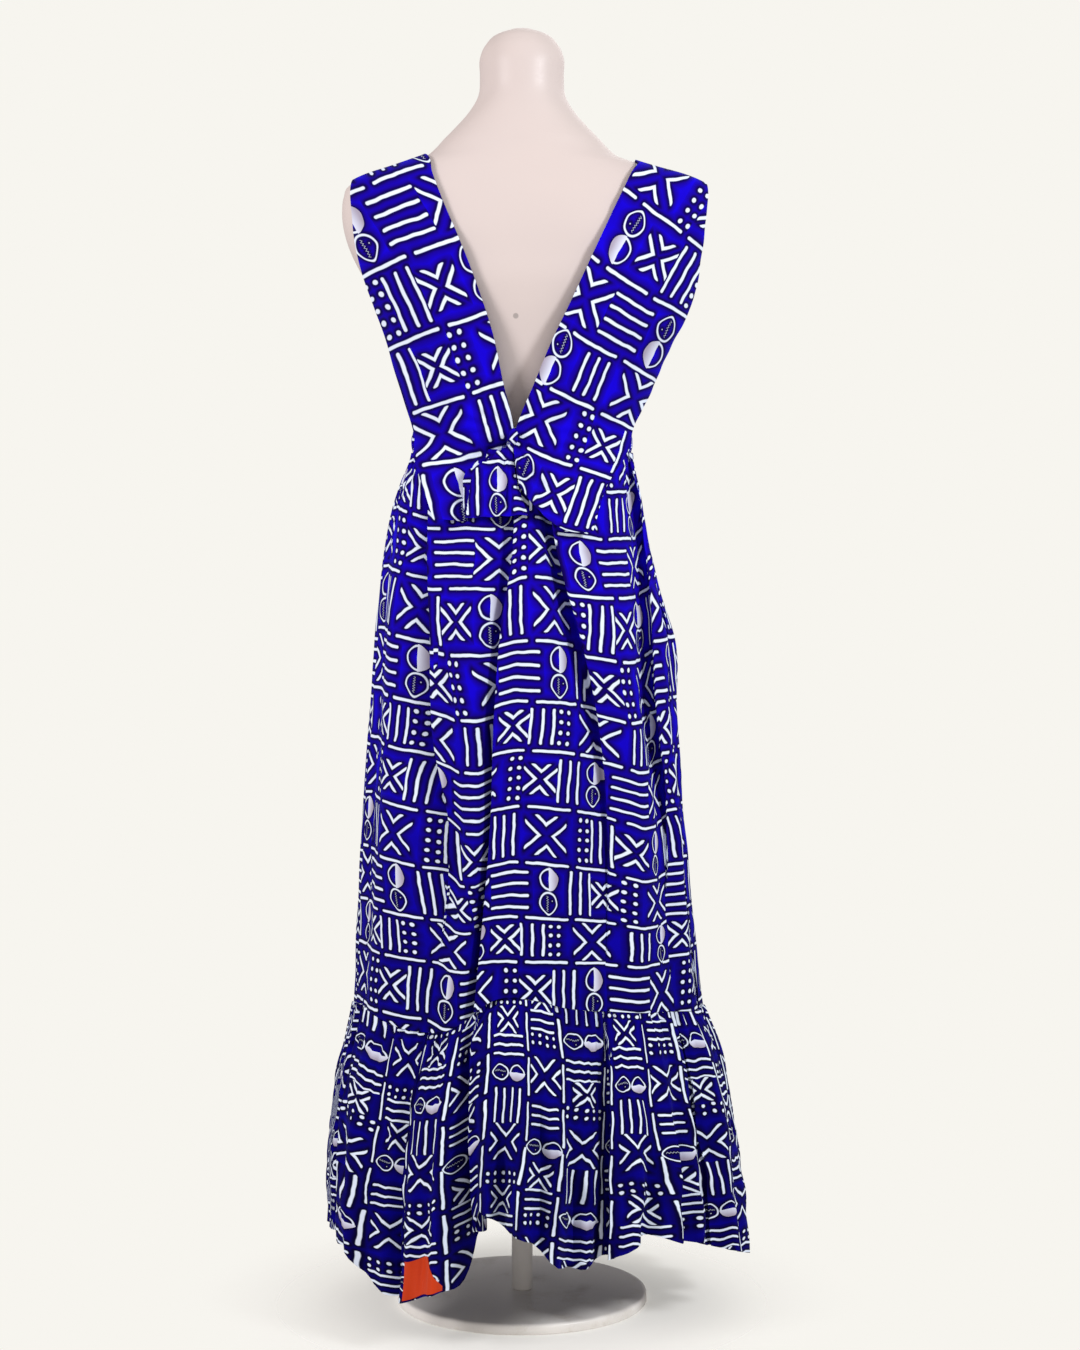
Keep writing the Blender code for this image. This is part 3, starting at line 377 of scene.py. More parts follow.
    # pairs of shells: an oval half filled with grey, and under it a pointed one with a toothed line
    point, outer, teeth, dot, grey = (shellShape[key] for key in (
        "point", "outline", "teeth", "dot", "grey"))
    lower = add("Math GREATER_THAN", (y, 0.0))
    y1 = add("Math SUBTRACT", (absY, shellShape["middle"]))
    tip = add("Math MAXIMUM", (add("Math DIVIDE", (y1, point["length"])), 0.0))
    tip = add("Math POWER", (tip, point["power"]))
    tip = add("Math MULTIPLY", (tip, add("Math MULTIPLY_ADD", (lower, 1 - point["upper"], point["upper"]))))
    width = add("Math MULTIPLY_ADD", (tip, -point["narrows"], shellShape["halfWidth"]))
    oval = add("CombineXYZ", (add("Math DIVIDE", (x, width)),
                              add("Math DIVIDE", (y1, shellShape["halfHeight"])), 0.0))
    oval = add("VectorMath LENGTH", (oval,), output="Value")
    outline = add("Math ABSOLUTE", (add("Math ADD", (oval, -1.0)),))
    outline = add("Math MULTIPLY_ADD", (outline, outer["scale"], outer["thinner"]))
    tooth = add("Math PINGPONG", (y, teeth["pitch"]))
    tooth = add("Math SUBTRACT", (x, add("Math MULTIPLY_ADD", (tooth, teeth["slope"], teeth["aside"]))))
    beyond = add("Math SUBTRACT", (add("Math ABSOLUTE", (y1,)), teeth["halfLength"]))
    tooth = add("Math MAXIMUM", (add("Math ABSOLUTE", (tooth,)), beyond))
    tooth = add("Math ADD", (tooth, teeth["thinner"]))
    toDot = add("VectorMath DISTANCE", (add("CombineXYZ", (x, y1, 0.0)), dot["at"]), output="Value")
    inside = add("Math MINIMUM", (tooth, add("Math ADD", (toDot, dot["smaller"]))))
    inside = add("Math MAXIMUM", (inside, add("Math MULTIPLY_ADD", (lower, -99.0, 99.0))))
    shell = add("Math MINIMUM", (outline, inside))
    line = add("MixRGB", (isShell, add("MixRGB", (isCross, strokes, cross)), shell))

    # the bars along the rows' edges
    border = printChart["border"]
    along = add("Math SUBTRACT", (u, border["middle"] - border["pitch"] / 2))
    along = add("Math FLOORED_MODULO", (along, border["pitch"]))
    along = add("Math ABSOLUTE", (add("Math SUBTRACT", (along, border["pitch"] / 2)),))
    along = add("Math SUBTRACT", (along, (border["length"] - stroke) / 2))
    along = add("Math MAXIMUM", (along, 0.0))
    bar = add("VectorMath LENGTH", (add("CombineXYZ", (along, toBorder, 0.0)),), output="Value")
    line = add("Math MINIMUM", (line, bar))

    # grey fill: the upper oval's right half
    fill = add("Math LESS_THAN", (oval, grey["within"]))
    for part in (add("Math GREATER_THAN", (x, 0.0)), add("Math LESS_THAN", (lower, 0.5)), isShell):
        fill = add("Math MULTIPLY", (fill, part))

    # the dye by its distance from a stroke, with cloudy patches 60 mm across
    white, edge, near, field, fieldDark, deeper = (hexColour(printColours[key]) for key in (
        "stroke", "edge", "near", "field", "fieldDark", "deeper"))
    cloud = add("TexNoise", {"Vector": inMm, "Scale": 0.022, "Detail": 3.0, "Roughness": 0.55})
    cloud = add("MapRange", (cloud, 0.35, 0.65, 0.0, 1.0))
    field = add("MixRGB", (cloud, fieldDark, field))
    beside = add("ValToRGB", (add("Math DIVIDE", (line, dyeShape["span"])),),
                 ["even", (0.0, edge), (dyeShape["edgeTo"], edge), (dyeShape["nearFrom"], near), (1.0, near)])
    blend = add("MapRange", (line, dyeShape["fieldFrom"], dyeShape["fieldAll"], 0.0, 1.0))
    dye = add("MixRGB", (blend, beside, field))
    # the blue is drawn darker towards the hem, by height above the floor alone; the white strokes keep their
    # colour
    height = add("SeparateXYZ", (add("TexCoord", output="Object"),), output=2)
    low = add("MapRange", (height, *dyeShape["darkerBetween"], 1.0, 0.0))
    dye = add("MixRGB", (low, dye, deeper), blend_type="MULTIPLY")
    soft = dyeShape["softEdge"]
    inStroke = add("MapRange", (line, stroke / 2 - soft, stroke / 2 + soft, 1.0, 0.0))
    colour = add("MixRGB", (inStroke, dye, white))
    shade = add("MapRange", (x, 0.0, grey["deepest"], 0.0, 1.0))
    shade = add("MixRGB", (shade, *map(hexColour, printColours["grey"])))
    add("MixRGB", (fill, colour, shade), to=sockets["Base Color"])

    # plain weave: threads 0.35 mm apart, drawn 1.6 mm apart because the render shows nothing finer
    warp, weft = (add("TexWave", {"Vector": inMm, "Scale": 0.2, "Distortion": 0.6}, output=1,
                      bands_direction=way) for way in "XY")
    weave = add("Math MULTIPLY", (warp, weft))
    add("Bump", {"Strength": 0.12, "Distance": 0.0004, "Height": weave}, to=sockets["Normal"])
    return material


# Satin-moulded polystyrene: smooth and softly glossy, with cloudy tint and fine orange peel from the mould
def mouldedShellMaterial(name, colour, deeper, dot):
    material, add, sockets = newMaterial(name, Roughness=0.46, IOR=1.59, Specular_IOR_Level=0.4)
    place = add("TexCoord", output="Object")
    cloud = add("TexNoise", {"Vector": place, "Scale": 9.0, "Detail": 3.0, "Roughness": 0.5})
    tint = add("MixRGB", (cloud, hexColour(colour), hexColour(deeper)))
    # the plug of the moulding hole, seen as a small grey dot between the shoulder blades
    flat = add("VectorMath MULTIPLY", (place, (1, 0, 1)))
    far = add("VectorMath DISTANCE", (flat, (dot["x"], 0, dot["z"])), output="Value")
    onDot = add("MapRange", (far, dot["radius"], dot["radius"] * 1.4, 1.0, 0.0))
    add("MixRGB", (onDot, tint, hexColour(dot["colour"])), to=sockets["Base Color"])
    # orange peel 0.5 mm across, drawn 3 mm across so that it shows at all
    peel = add("TexNoise", {"Vector": place, "Scale": 330.0, "Detail": 1.0})
    add("MapRange", (peel, 0.3, 0.7, 0.42, 0.5), to=sockets["Roughness"])
    add("Bump", {"Strength": 0.05, "Distance": 0.0005, "Height": peel}, to=sockets["Normal"])
    return material


# Baked enamel on steel: smooth, with a soft gloss, slight pooling and a few duller rub marks
def enamelMaterial(name, colour, worn):
    material, add, sockets = newMaterial(name, Roughness=0.36, IOR=1.52)
    place = add("TexCoord", output="Object")
    pool = add("TexNoise", {"Vector": place, "Scale": 60.0, "Detail": 2.0})
    rub = add("TexNoise", {"Vector": place, "Scale": 22.0, "Detail": 6.0, "Roughness": 0.7})
    rubbed = add("MapRange", (rub, 0.55, 0.72, 0.0, 1.0))
    add("MixRGB", (rubbed, hexColour(colour), hexColour(worn)), to=sockets["Base Color"])
    add("MapRange", (rubbed, 0.0, 1.0, 0.32, 0.48), to=sockets["Roughness"])
    add("Bump", {"Strength": 0.06, "Distance": 0.0006, "Height": pool}, to=sockets["Normal"])
    return material


# Polyester satin, woven with long floats across: plain orange, with a soft streaky gloss
def satinPatchMaterial(name, colour, deeper):
    material, add, sockets = newMaterial(name, Roughness=0.5, Sheen_Weight=0.02, Specular_IOR_Level=0.2)
    # floats 0.2 mm wide and 1 mm long, drawn 1 mm by 5 mm
    place = add("UVMap", uv_map="print")
    stretched = add("Mapping", {"Vector": place, "Scale": (200.0, 1000.0, 1.0)})
    floats = add("TexNoise", {"Vector": stretched, "Scale": 1.0, "Detail": 2.0})
    add("MixRGB", (floats, hexColour(colour), hexColour(deeper)), to=sockets["Base Color"])
    add("Bump", {"Strength": 0.08, "Distance": 0.0003, "Height": floats}, to=sockets["Normal"])
    return material


print("materials")
waxPrint = waxPrintMaterial("wax_print_cotton")
formShell = mouldedShellMaterial("moulded_form_shell", "d0c4bf", "d6c9c2",
                                 {"x": -0.0064, "z": 1.170, "radius": 0.0026, "colour": "a89f9a"})
standEnamel = enamelMaterial("stand_enamel", "f2efe8", "e2ddd2")
orangeSatin = satinPatchMaterial("orange_satin", "cc3c0a", "c23608")


# Camera and light

cameraPlace = {
    "position": (0.0215, -3.0, 0.8693),
    "tilt": 2.228,  # degrees down
    "focal": 66.97,  # mm, on a sensor 36 mm high
}
lamps = (  # name, kind, position, aimed at, size in metres, watts, colour
    ("key", (2.4, -1.75, 2.3), (0.0, 0.0, 0.9), 0.7, 68.0, "f8faff"),
    ("fill", (-2.3, -1.8, 1.9), (0.0, 0.0, 0.8), 1.1, 54.0, "fbf7fb"),
    ("back", (0.6, 2.6, 2.6), (0.0, 0.0, 0.8), 2.0, 12.0, "ffffff"),
)
worldLight = {"seen": "f7f5ef", "cast": "fbf4f2", "strength": 0.57}
studioFloor = {"radii": (0.001, 2.4), "rings": 12, "sides": 96, "height": -0.0002,
               "colours": ("f9f7f2", "f7f5ef"), "fades": (0.15, 0.42), "strongest": 0.6}


# the rotation that points an object's -Z at a target
def aimed(position, target):
    return (Vector(target) - Vector(position)).to_track_quat("-Z", "Y").to_euler()


# a camera at the photograph's viewing angle, level from side to side
def makeCamera():
    camera = bpy.data.cameras.new("camera")
    camera.lens, camera.sensor_width = cameraPlace["focal"], 36.0
    camera.clip_end = 50.0
    viewer = bpy.data.objects.new("camera", camera)
    viewer.location = cameraPlace["position"]
    viewer.rotation_euler = (math.radians(90 - cameraPlace["tilt"]), 0, 0)
    bpy.context.collection.objects.link(viewer)
    bpy.context.scene.camera = viewer


# round area lamps, and a world that the camera sees in one colour and that lights the scene in another
def makeLight():
    for name, position, target, size, power, colour in lamps:
        lamp = bpy.data.lights.new(name, "AREA")
        lamp.shape, lamp.size, lamp.energy = "DISK", size, power
        lamp.color = hexColour(colour)[:3]
        item = bpy.data.objects.new(name, lamp)
        item.location, item.rotation_euler = position, aimed(position, target)
        bpy.context.collection.objects.link(item)
    world = bpy.data.worlds.new("studio")
    bpy.context.scene.world = world
    world.use_nodes = True
    tree = world.node_tree
    tree.nodes.clear()
    seen = addNode(tree, "Background", {"Color": hexColour(worldLight["seen"]), "Strength": 1.0})
    cast = addNode(tree, "Background", {"Color": hexColour(worldLight["cast"]),
                                        "Strength": worldLight["strength"]})
    direct = addNode(tree, "LightPath", output="Is Camera Ray")
    surface = tree.nodes.new("ShaderNodeOutputWorld").inputs["Surface"]
    addNode(tree, "MixShader", (direct, cast, seen), to=surface)


# a flat disc of rings, just under the stand
def makeFloor():
    rings, sides = studioFloor["rings"], studioFloor["sides"]
    angle = np.linspace(0, tau, sides, endpoint=False)
    radii = np.linspace(*studioFloor["radii"], rings)[:, None]
    disc = byAngle(radii + 0 * angle, angle + 0 * radii, 0 * radii + studioFloor["height"])
    paint, add, sockets = newMaterial("studio_floor", Roughness=0.9, Specular_IOR_Level=0.1)
    place = add("TexCoord", output="Object")
    grain = add("TexNoise", {"Vector": place, "Scale": 3.0, "Detail": 3.0})
    add("MixRGB", (grain, *map(hexColour, studioFloor["colours"])), to=sockets["Base Color"])
    # the floor fades away towards its rim, so that no horizon shows
    out = add("VectorMath LENGTH", (place,), output="Value")
    add("MapRange", (out, *studioFloor["fades"], studioFloor["strongest"], 0.0), to=sockets["Alpha"],
        interpolation_type="SMOOTHSTEP")
    floor = meshObject("studio_floor", disc.reshape(-1, 3), gridFaces(rings, sides, ring=True)[:, ::-1],
                       paint, closed=False)


print("camera, light and floor")
makeCamera()
makeLight()
makeFloor()


# The dress form: a ring at each level, like the solid's but smooth

formShape = {
    "columns": ("height", "halfWidth", "back", "front", "squareness", "lean"),
    "rows": (
        (1.520, 0.014, 0.015, 0.015, 2.0, 0.019),
        (1.514, 0.030, 0.032, 0.031, 2.0, 0.019),
        (1.502, 0.043, 0.046, 0.044, 2.0, 0.018),
        (1.486, 0.050, 0.053, 0.051, 2.0, 0.016),
        (1.465, 0.050, 0.055, 0.053, 2.0, 0.014),
        (1.440, 0.052, 0.055, 0.053, 2.0, 0.011),
        (1.420, 0.063, 0.056, 0.054, 2.1, 0.007),
        (1.400, 0.080, 0.058, 0.056, 2.2, 0.003),
        (1.385, 0.094, 0.061, 0.058, 2.3, 0.000),
        (1.374, 0.104, 0.064, 0.060, 2.4, 0.000),
        (1.364, 0.117, 0.068, 0.062, 2.5, 0.000),
        (1.356, 0.139, 0.071, 0.065, 2.6, 0.000),
        (1.348, 0.163, 0.074, 0.068, 2.6, 0.000),
        (1.340, 0.188, 0.077, 0.071, 2.6, 0.000),
        (1.331, 0.205, 0.081, 0.074, 2.6, 0.000),
        (1.318, 0.211, 0.086, 0.078, 2.6, 0.000),
        (1.300, 0.213, 0.091, 0.083, 2.6, 0.000),
        (1.275, 0.210, 0.096, 0.090, 2.6, 0.000),
        (1.245, 0.199, 0.099, 0.100, 2.5, 0.000),
        (1.215, 0.181, 0.101, 0.111, 2.4, 0.000),
        (1.190, 0.160, 0.099, 0.117, 2.3, 0.000),
        (1.160, 0.143, 0.095, 0.114, 2.2, 0.000),
        (1.110, 0.129, 0.088, 0.102, 2.2, 0.000),
        (1.065, 0.120, 0.082, 0.094, 2.2, 0.000),
        (1.025, 0.116, 0.080, 0.091, 2.2, 0.000),
        (0.985, 0.119, 0.083, 0.092, 2.2, 0.000),
        (0.930, 0.132, 0.095, 0.096, 2.2, 0.000),
        (0.870, 0.146, 0.107, 0.099, 2.2, 0.000),
        (0.810, 0.153, 0.112, 0.100, 2.2, 0.000),
        (0.760, 0.153, 0.110, 0.098, 2.2, 0.000),
        (0.715, 0.144, 0.102, 0.091, 2.2, 0.000),
        (0.687, 0.128, 0.090, 0.081, 2.2, 0.000),
        (0.674, 0.104, 0.073, 0.066, 2.1, 0.000),
        (0.670, 0.070, 0.049, 0.044, 2.0, 0.000),
    ),
    "sides": 96,
    "stepsBetween": 4,
    "endRings": (0.05, 0.6),  # of an end ring's size
}


# each ring is a superellipse with half axes read from the table; the ends close to a point
def makeForm():
    rows = np.array(formShape["rows"])
    count = (len(rows) - 1) * formShape["stepsBetween"]
    height = np.interp(np.arange(count + 1) / formShape["stepsBetween"], np.arange(len(rows)), rows[:, 0])
    half, back, front, square, lean = (lookUp(formShape, name, height)[:, None]
                                       for name in formShape["columns"][1:])
    angle = np.linspace(0, tau, formShape["sides"], endpoint=False) + 0 * half
    rings = byAngle(outlineRadius(angle, half, half, back, front, square), angle, height[:, None])
    rings[..., 1] += lean

    def shrunk(row, share):
        middle = np.array([0, lean[row, 0], height[row]])
        return middle + (rings[row] - middle) * share

    small, wide = formShape["endRings"]
    grid = np.concatenate([[shrunk(0, small), shrunk(0, wide)], rings, [shrunk(-1, wide), shrunk(-1, small)]])
    form = meshObject("dress_form", grid.reshape(-1, 3), closedRings(len(grid), formShape["sides"]), formShell)
    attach(form, "root")
    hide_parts("form_torso")


print("dress form")
makeForm()


# The stand: a round plate, a pole and the collar under the form

standShape = {
    "base": ((0.0004, 0.0120), (0.060, 0.0120), (0.1440, 0.0120), (0.1475, 0.0117), (0.1493, 0.0105),
             (0.1500, 0.0088), (0.1500, 0.0010), (0.1492, 0.0000), (0.060, 0.0000), (0.0004, 0.0000)),
    "pole": ((0.0004, 0.6444), (0.0118, 0.6444), (0.0125, 0.6437), (0.0125, 0.330), (0.0125, 0.0130),
             (0.0118, 0.0123), (0.0004, 0.0123)),
    "collar": ((0.0004, 0.6697), (0.0290, 0.6697), (0.0300, 0.6690), (0.0300, 0.6667), (0.0292, 0.6648),
               (0.0165, 0.6452), (0.0155, 0.6447), (0.0004, 0.6447)),
}


# each piece is its profile turned round the vertical axis, with small radii at its edges
def makeStand():
    for name, profile in standShape.items():
        piece = turnedObject(f"form_stand_{name}", profile, standEnamel)
        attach(piece, "root")
        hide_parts(f"stand_{name}")


print("stand")
makeStand()


# The skirt, its waistband and its ruffle hang in folds whose left edges lie over the cloth beside them

clothShape = {
    "thickness": 0.0009,
    "waistTop": 1.042,
    "waistBottom": 1.017,
    "ruffleSeam": 0.356,
    "seamGap": 0.0003,
    "squareness": 2.15,
    "foldMean": 0.55,
}
skirtSizes = {
    "columns": ("height", "left", "right", "back", "front"),
    "rows": (
        (1.042, 0.1300, 0.1300, 0.1000, 0.1040),
        (1.017, 0.1300, 0.1300, 0.1000, 0.1040),
        (0.980, 0.1430, 0.1360, 0.1100, 0.1110),
        (0.944, 0.1530, 0.1430, 0.1190, 0.1180),
        (0.896, 0.1610, 0.1520, 0.1300, 0.1260),
        (0.848, 0.1665, 0.1630, 0.1380, 0.1320),
        (0.806, 0.1700, 0.1765, 0.1440, 0.1370),
        (0.716, 0.1765, 0.1810, 0.1520, 0.1440),
        (0.596, 0.1855, 0.1890, 0.1620, 0.1540),
        (0.476, 0.1925, 0.2015, 0.1720, 0.1640),
        (0.356, 0.1980, 0.2150, 0.1820, 0.1740),
    ),
}
# each fold: its left edge's angle at eight levels, its depth in the skirt and at the hem, where across it the
# ridge stands, and the ruffle's waves in it
folds = {
    "levels": (1.017, 0.900, 0.800, 0.700, 0.580, 0.470, 0.356, 0.080),
    "columns": ("waist", "z900", "hip", "z700", "knee", "z470", "seam", "hem", "depth", "hemDepth", "peak",
                "waves", "waveHeight", "dive"),
    "rows": (
        (-76, -74.9, -74, -73.1, -72, -72, -72, -72, 0.011, 0.016, 0.35, 3, 0.006, 0.005),
        (-52, -46, -41, -38, -29, -31, -36, -40, 0.017, 0.034, 0.62, 2, 0.006, 0.016),
        (-4, -3.6, -9, -11, -11.6, -13.6, -16, -14.5, 0.018, 0.046, 0.40, 4, 0.018, 0.008),
        (13.5, 18, 26.5, 33.5, 36, 34, 30.5, 25, 0.018, 0.024, 0.35, 3, 0.016, 0.011),
        (80, 74, 62, 62.3, 66.5, 61.5, 60, 61, 0.014, 0.028, 0.35, 2, 0.010, 0.008),
        (88, 86, 80, 80, 83, 82, 84, 86, 0.010, 0.016, 0.40, 2, 0.007, 0.005),
        (97, 98.6, 100, 101.8, 104, 106, 108, 110, 0.009, 0.018, 0.40, 2, 0.009, 0.005),
        (124, 125.1, 126, 127.8, 130, 132, 134, 136, 0.011, 0.020, 0.40, 2, 0.007, 0.005),
        (151, 152.1, 153, 154.8, 157, 158.5, 160, 162, 0.010, 0.022, 0.40, 2, 0.008, 0.005),
        (179, 179.5, 180, 181.8, 184, 185, 186, 187, 0.011, 0.018, 0.40, 2, 0.007, 0.005),
        (207, 207.5, 208, 209.4, 211, 212, 213, 214, 0.010, 0.022, 0.40, 2, 0.009, 0.005),
        (234, 234.5, 235, 236.4, 238, 239, 240, 241, 0.009, 0.020, 0.40, 2, 0.008, 0.005),
        (260, 260.5, 261, 262.4, 264, 264, 264, 264, 0.010, 0.018, 0.40, 2, 0.006, 0.005),
    ),
}
foldCount = len(folds["rows"])
foldDepths = {
    "columns": ("height", "share"),
    "rows": ((1.042, 0.0), (1.017, 0.10), (0.950, 0.42), (0.880, 0.75), (0.800, 0.95), (0.600, 1.0),
             (0.450, 0.85), (0.356, 0.60)),
}
seamLift = ((-100, 0), (-88, 0.006), (-70, 0.010), (-58, 0.006), (-48, -0.003), (-40, -0.006),
            (-30, -0.004), (-22, 0.006), (-15, 0.025), (-8, 0.038), (-1, 0.039), (7, 0.035), (14, 0.028),
            (22, 0.023), (38, 0.018), (60, 0.010), (84, 0), (120, 0), (180, 0), (260, 0))
hemHeights = ((-91, 0.095), (-78, 0.096), (-64, 0.096), (-56, 0.093), (-51, 0.072), (-46, 0.054),
              (-38, 0.050), (-31, 0.056), (-25, 0.068), (-21, 0.074), (-17, 0.084), (-14.5, 0.134),
              (-12.5, 0.160), (-9, 0.160), (-5, 0.146), (-1, 0.143), (3, 0.132), (8, 0.110), (14, 0.098),
              (20, 0.097), (25, 0.105), (29, 0.119), (36, 0.130), (41, 0.122), (47, 0.115), (54, 0.108),
              (60, 0.098), (70, 0.082), (80, 0.069), (88, 0.066), (105, 0.070), (130, 0.080),
              (160, 0.074), (190, 0.082), (220, 0.078), (250, 0.088), (269, 0.095))
ruffleFlare = {
    "columns": ("down", "left", "right", "back", "front"),
    "rows": ((0.00, 0.000, 0.000, 0.000, 0.000), (0.15, 0.010, 0.018, 0.012, 0.010),
             (0.35, 0.021, 0.030, 0.026, 0.022), (0.60, 0.029, 0.042, 0.040, 0.034),
             (0.80, 0.031, 0.048, 0.048, 0.040), (1.00, 0.028, 0.052, 0.054, 0.044)),
}
# cloth hidden under each fold's left edge, by height, and how far that edge stands over its neighbour
# there; folds with no row of their own use the last
tucks = {  # height, hidden mm, share of the full standing height
    1: ((0.901, 66, 1), (0.832, 50, 1), (0.764, 40, 1), (0.704, 24, 1), (0.643, 10, 0.9), (0.575, 4, 0.6),
        (0.506, 0, 0.3), (0.449, 0, 0)),
    2: ((0.901, 23, 0.8), (0.832, 21, 0.8), (0.764, 22, 0.8), (0.704, 34, 1), (0.643, 39, 1), (0.570, 42, 1),
        (0.506, 51, 1), (0.460, 53, 1), (0.415, 46, 1)),
    3: ((0.901, 34, 1), (0.832, 20, 1), (0.764, 20, 0.9), (0.704, 6, 0.7), (0.643, 2, 0.5), (0.575, 0, 0.3),
        (0.500, 0, 0.1), (0.430, 0, 0)),
    4: ((0.901, 12, 0.6), (0.832, 68, 1), (0.764, 55, 1), (0.704, 39, 1), (0.643, 36, 0.8), (0.570, 3, 0.3),
        (0.500, 0, 0)),
    "others": ((0.90, 14, 0.45), (0.70, 10, 0.33), (0.50, 4, 0.15), (0.45, 0, 0.1)),
}
tuckShape = {"reach": 0.011, "gap": 0.0105, "edge": 0.0012, "under": 0.72, "diveWidth": 0.34,
             "liftWidth": 0.36, "deeper": (0.90, 0.97), "deepens": 0.45, "fullness": 0.8,
             "edgeAside": 1.6, "out": (0.15, 0.85), "dives": (0.1, 0.7)}
skirtGrid = {"rows": 110, "foldColumns": 26, "tuckColumns": 13, "crowding": 1.15}
foldCrowding = 0.6  # how much closer the columns stand at both ends of a fold, from 0 to 1
sideSeams = {"left": 12 + 4 / 7, "right": foldCount + 5 + 0.5}  # as fold number + share across it


# the columns of a panel from one place to another: each a place (fold number + share), and how far it is
# through a tuck, from 0 to 1, or -1 outside
def panelColumns(start, stop, perFold, perTuck):
    places, through = [], []
    for fold in range(int(start), int(stop) + 1):
        low, high = max(fold, start), min(fold + 1, stop)
        if fold > start:
            places += [float(fold)] * perTuck
            through += list(np.linspace(0, 1, perTuck))
        share = np.linspace(low - fold, high - fold, perFold + 1)
        spaced = share - foldCrowding * np.sin(tau * share) / tau
        keep = spaced[(1 if fold > start else 0):(-1 if high == fold + 1 else None)]
        places += list(fold + keep)
        through += [-1.0] * len(keep)
    return np.array(places), np.array(through)


# the value of a fold's own row
def ownValue(name, place):
    values = np.array(folds["rows"], float)[:, folds["columns"].index(name)]
    return values[np.floor(place).astype(int) % foldCount]


# a column of the fold table blended across each fold to the next one's value
def foldValue(name, place):
    share = place - np.floor(place)
    return ownValue(name, place) * (1 - share) + ownValue(name, place + 1) * share


# the angle of each place at each height, in radians; it goes on past 360 degrees in the second turn
def placeAngle(place, height):
    rows = np.array(folds["rows"], float)[:, :len(folds["levels"])]
    fold = np.floor(place).astype(int)
    share = (place - fold)[:, None]
    edge, following = (rows[number % foldCount] + 360 * (number // foldCount)[:, None]
                       for number in (fold, fold + 1))
    edges = edge * (1 - share) + following * share
    return np.radians(np.stack([smoothCurve(folds["levels"], edges[j], height[:, j])
                                for j in range(len(place))], -1))


# a fold across its width: a quick rise from its left edge to the ridge, then a long fall
def foldProfile(place):
    share = place - np.floor(place)
    peak = ownValue("peak", place)
    climb = np.sin(math.pi / 2 * np.clip(share / peak, 0, 1)) ** 2
    fall = np.cos(math.pi / 2 * np.clip((share - peak) / (1 - peak), 0, 1)) ** 2
    return np.where(share < peak, climb, fall) - clothShape["foldMean"]


# a table by angle, read all the way round
def roundTable(rows, degrees):
    rows = np.array(rows[:-1], float)
    knots = np.concatenate([rows[:, 0] + turn for turn in (-360, 0, 360, 720)])
    return smoothCurve(knots, np.tile(rows[:, 1], 4), degrees)


# a column of a table of tucks at a fold's left edge at the heights given
def tuckValue(table, fold, height, column):
    rows = np.array(table.get(fold % foldCount, table["others"]), float)
    return smoothCurve(rows[:, 0], rows[:, column], height)


# the tucks' own shape: sideways and outward offsets that carry the cloth under the next fold's edge, back
# out, and round the edge: s = reach sin(pi q), h = gap times a smooth step, then half a turn of the edge
def tuckOffsets(place, through, amount):
    reach, gap, edge, under = (tuckShape[key] for key in ("reach", "gap", "edge", "under"))
    q = np.clip(through / under, 0, 1)
    turn = np.clip((through - under) / (1 - under), 0, 1) * math.pi
    aside = (reach * np.sin(math.pi * q) ** tuckShape["fullness"]
             - edge * np.sin(turn) * tuckShape["edgeAside"])
    out = (gap - 2 * edge) * rise(q, *tuckShape["out"]) + edge * (1 - np.cos(turn))
    inside = through >= 0
    share = place - np.floor(place)
    lift = gap * (1 - rise(share, 0, tuckShape["liftWidth"]))
    out = np.where(inside, out, lift)
    return np.where(inside, aside, 0) * amount, out * amount


# lengths in metres; each wave shows in patches
creaseWaves = {"count": 9, "across": (0.018, 0.055), "down": (0.10, 0.40), "lean": 0.25,
               "patches": (0.15, 0.4)}


# small soft creases that break up the surface, as a sum of slow waves along and across the cloth
def softCreases(along, height, seed, size):
    random = np.random.default_rng(seed)
    waves, total = creaseWaves, 0 * along
    for step in range(waves["count"]):
        lengthAcross, lengthDown = random.uniform(*waves["across"]), random.uniform(*waves["down"])
        lean, phase = random.uniform(-waves["lean"], waves["lean"]), random.uniform(0, tau)
        patch = np.sin(height * tau / random.uniform(*waves["patches"]) + random.uniform(0, tau))
        total += np.sin((along + lean * height) * tau / lengthAcross
                        + height * tau / lengthDown + phase) * (0.5 + 0.5 * patch)
    return total * size / math.sqrt(waves["count"])


# gathers: sin(2 pi * length round / pitch + amount * sin(often * angle))
def gatherWaves(angle, shape, lean=0):
    amount, often = shape["uneven"]
    return np.sin(angle * shape["radius"] * tau / shape["pitch"] + amount * np.sin(angle * often) + lean)


# the soft creases of a panel that hangs round the body
def panelCreases(angle, height, shape):
    return softCreases(angle * shape["radius"], height, shape["seed"], shape["size"])


# for every column the strength of the tuck at the left edge of its fold, and of the one at its right edge
def tuckStrength(place, height, table):
    fold = np.floor(place).astype(int)
    left, right = 0 * height, 0 * height
    for number in np.unique(fold):
        at = fold == number
        left[:, at] = tuckValue(table, number, height[:, at], 2)
        right[:, at] = tuckValue(table, number + 1, height[:, at], 2)
    return np.clip(left, 0, 1), np.clip(right, 0, 1)


# adds the tucks to a surface given as angle and radius
def withTucks(angle, radius, height, place, through, left, right):
    share = place - np.floor(place)
    aside, out = tuckOffsets(place, through, left)
    # the cloth beside the next fold's edge dives under it
    falling = rise(share, 1 - tuckShape["diveWidth"], 1) * right
    falling = np.where(through >= 0, left * (1 - rise(through, *tuckShape["dives"])), falling)
    dive = foldValue("dive", place) * (1 + tuckShape["deepens"] * rise(height, *tuckShape["deeper"]))
    return angle + aside / radius, radius + out - dive * falling


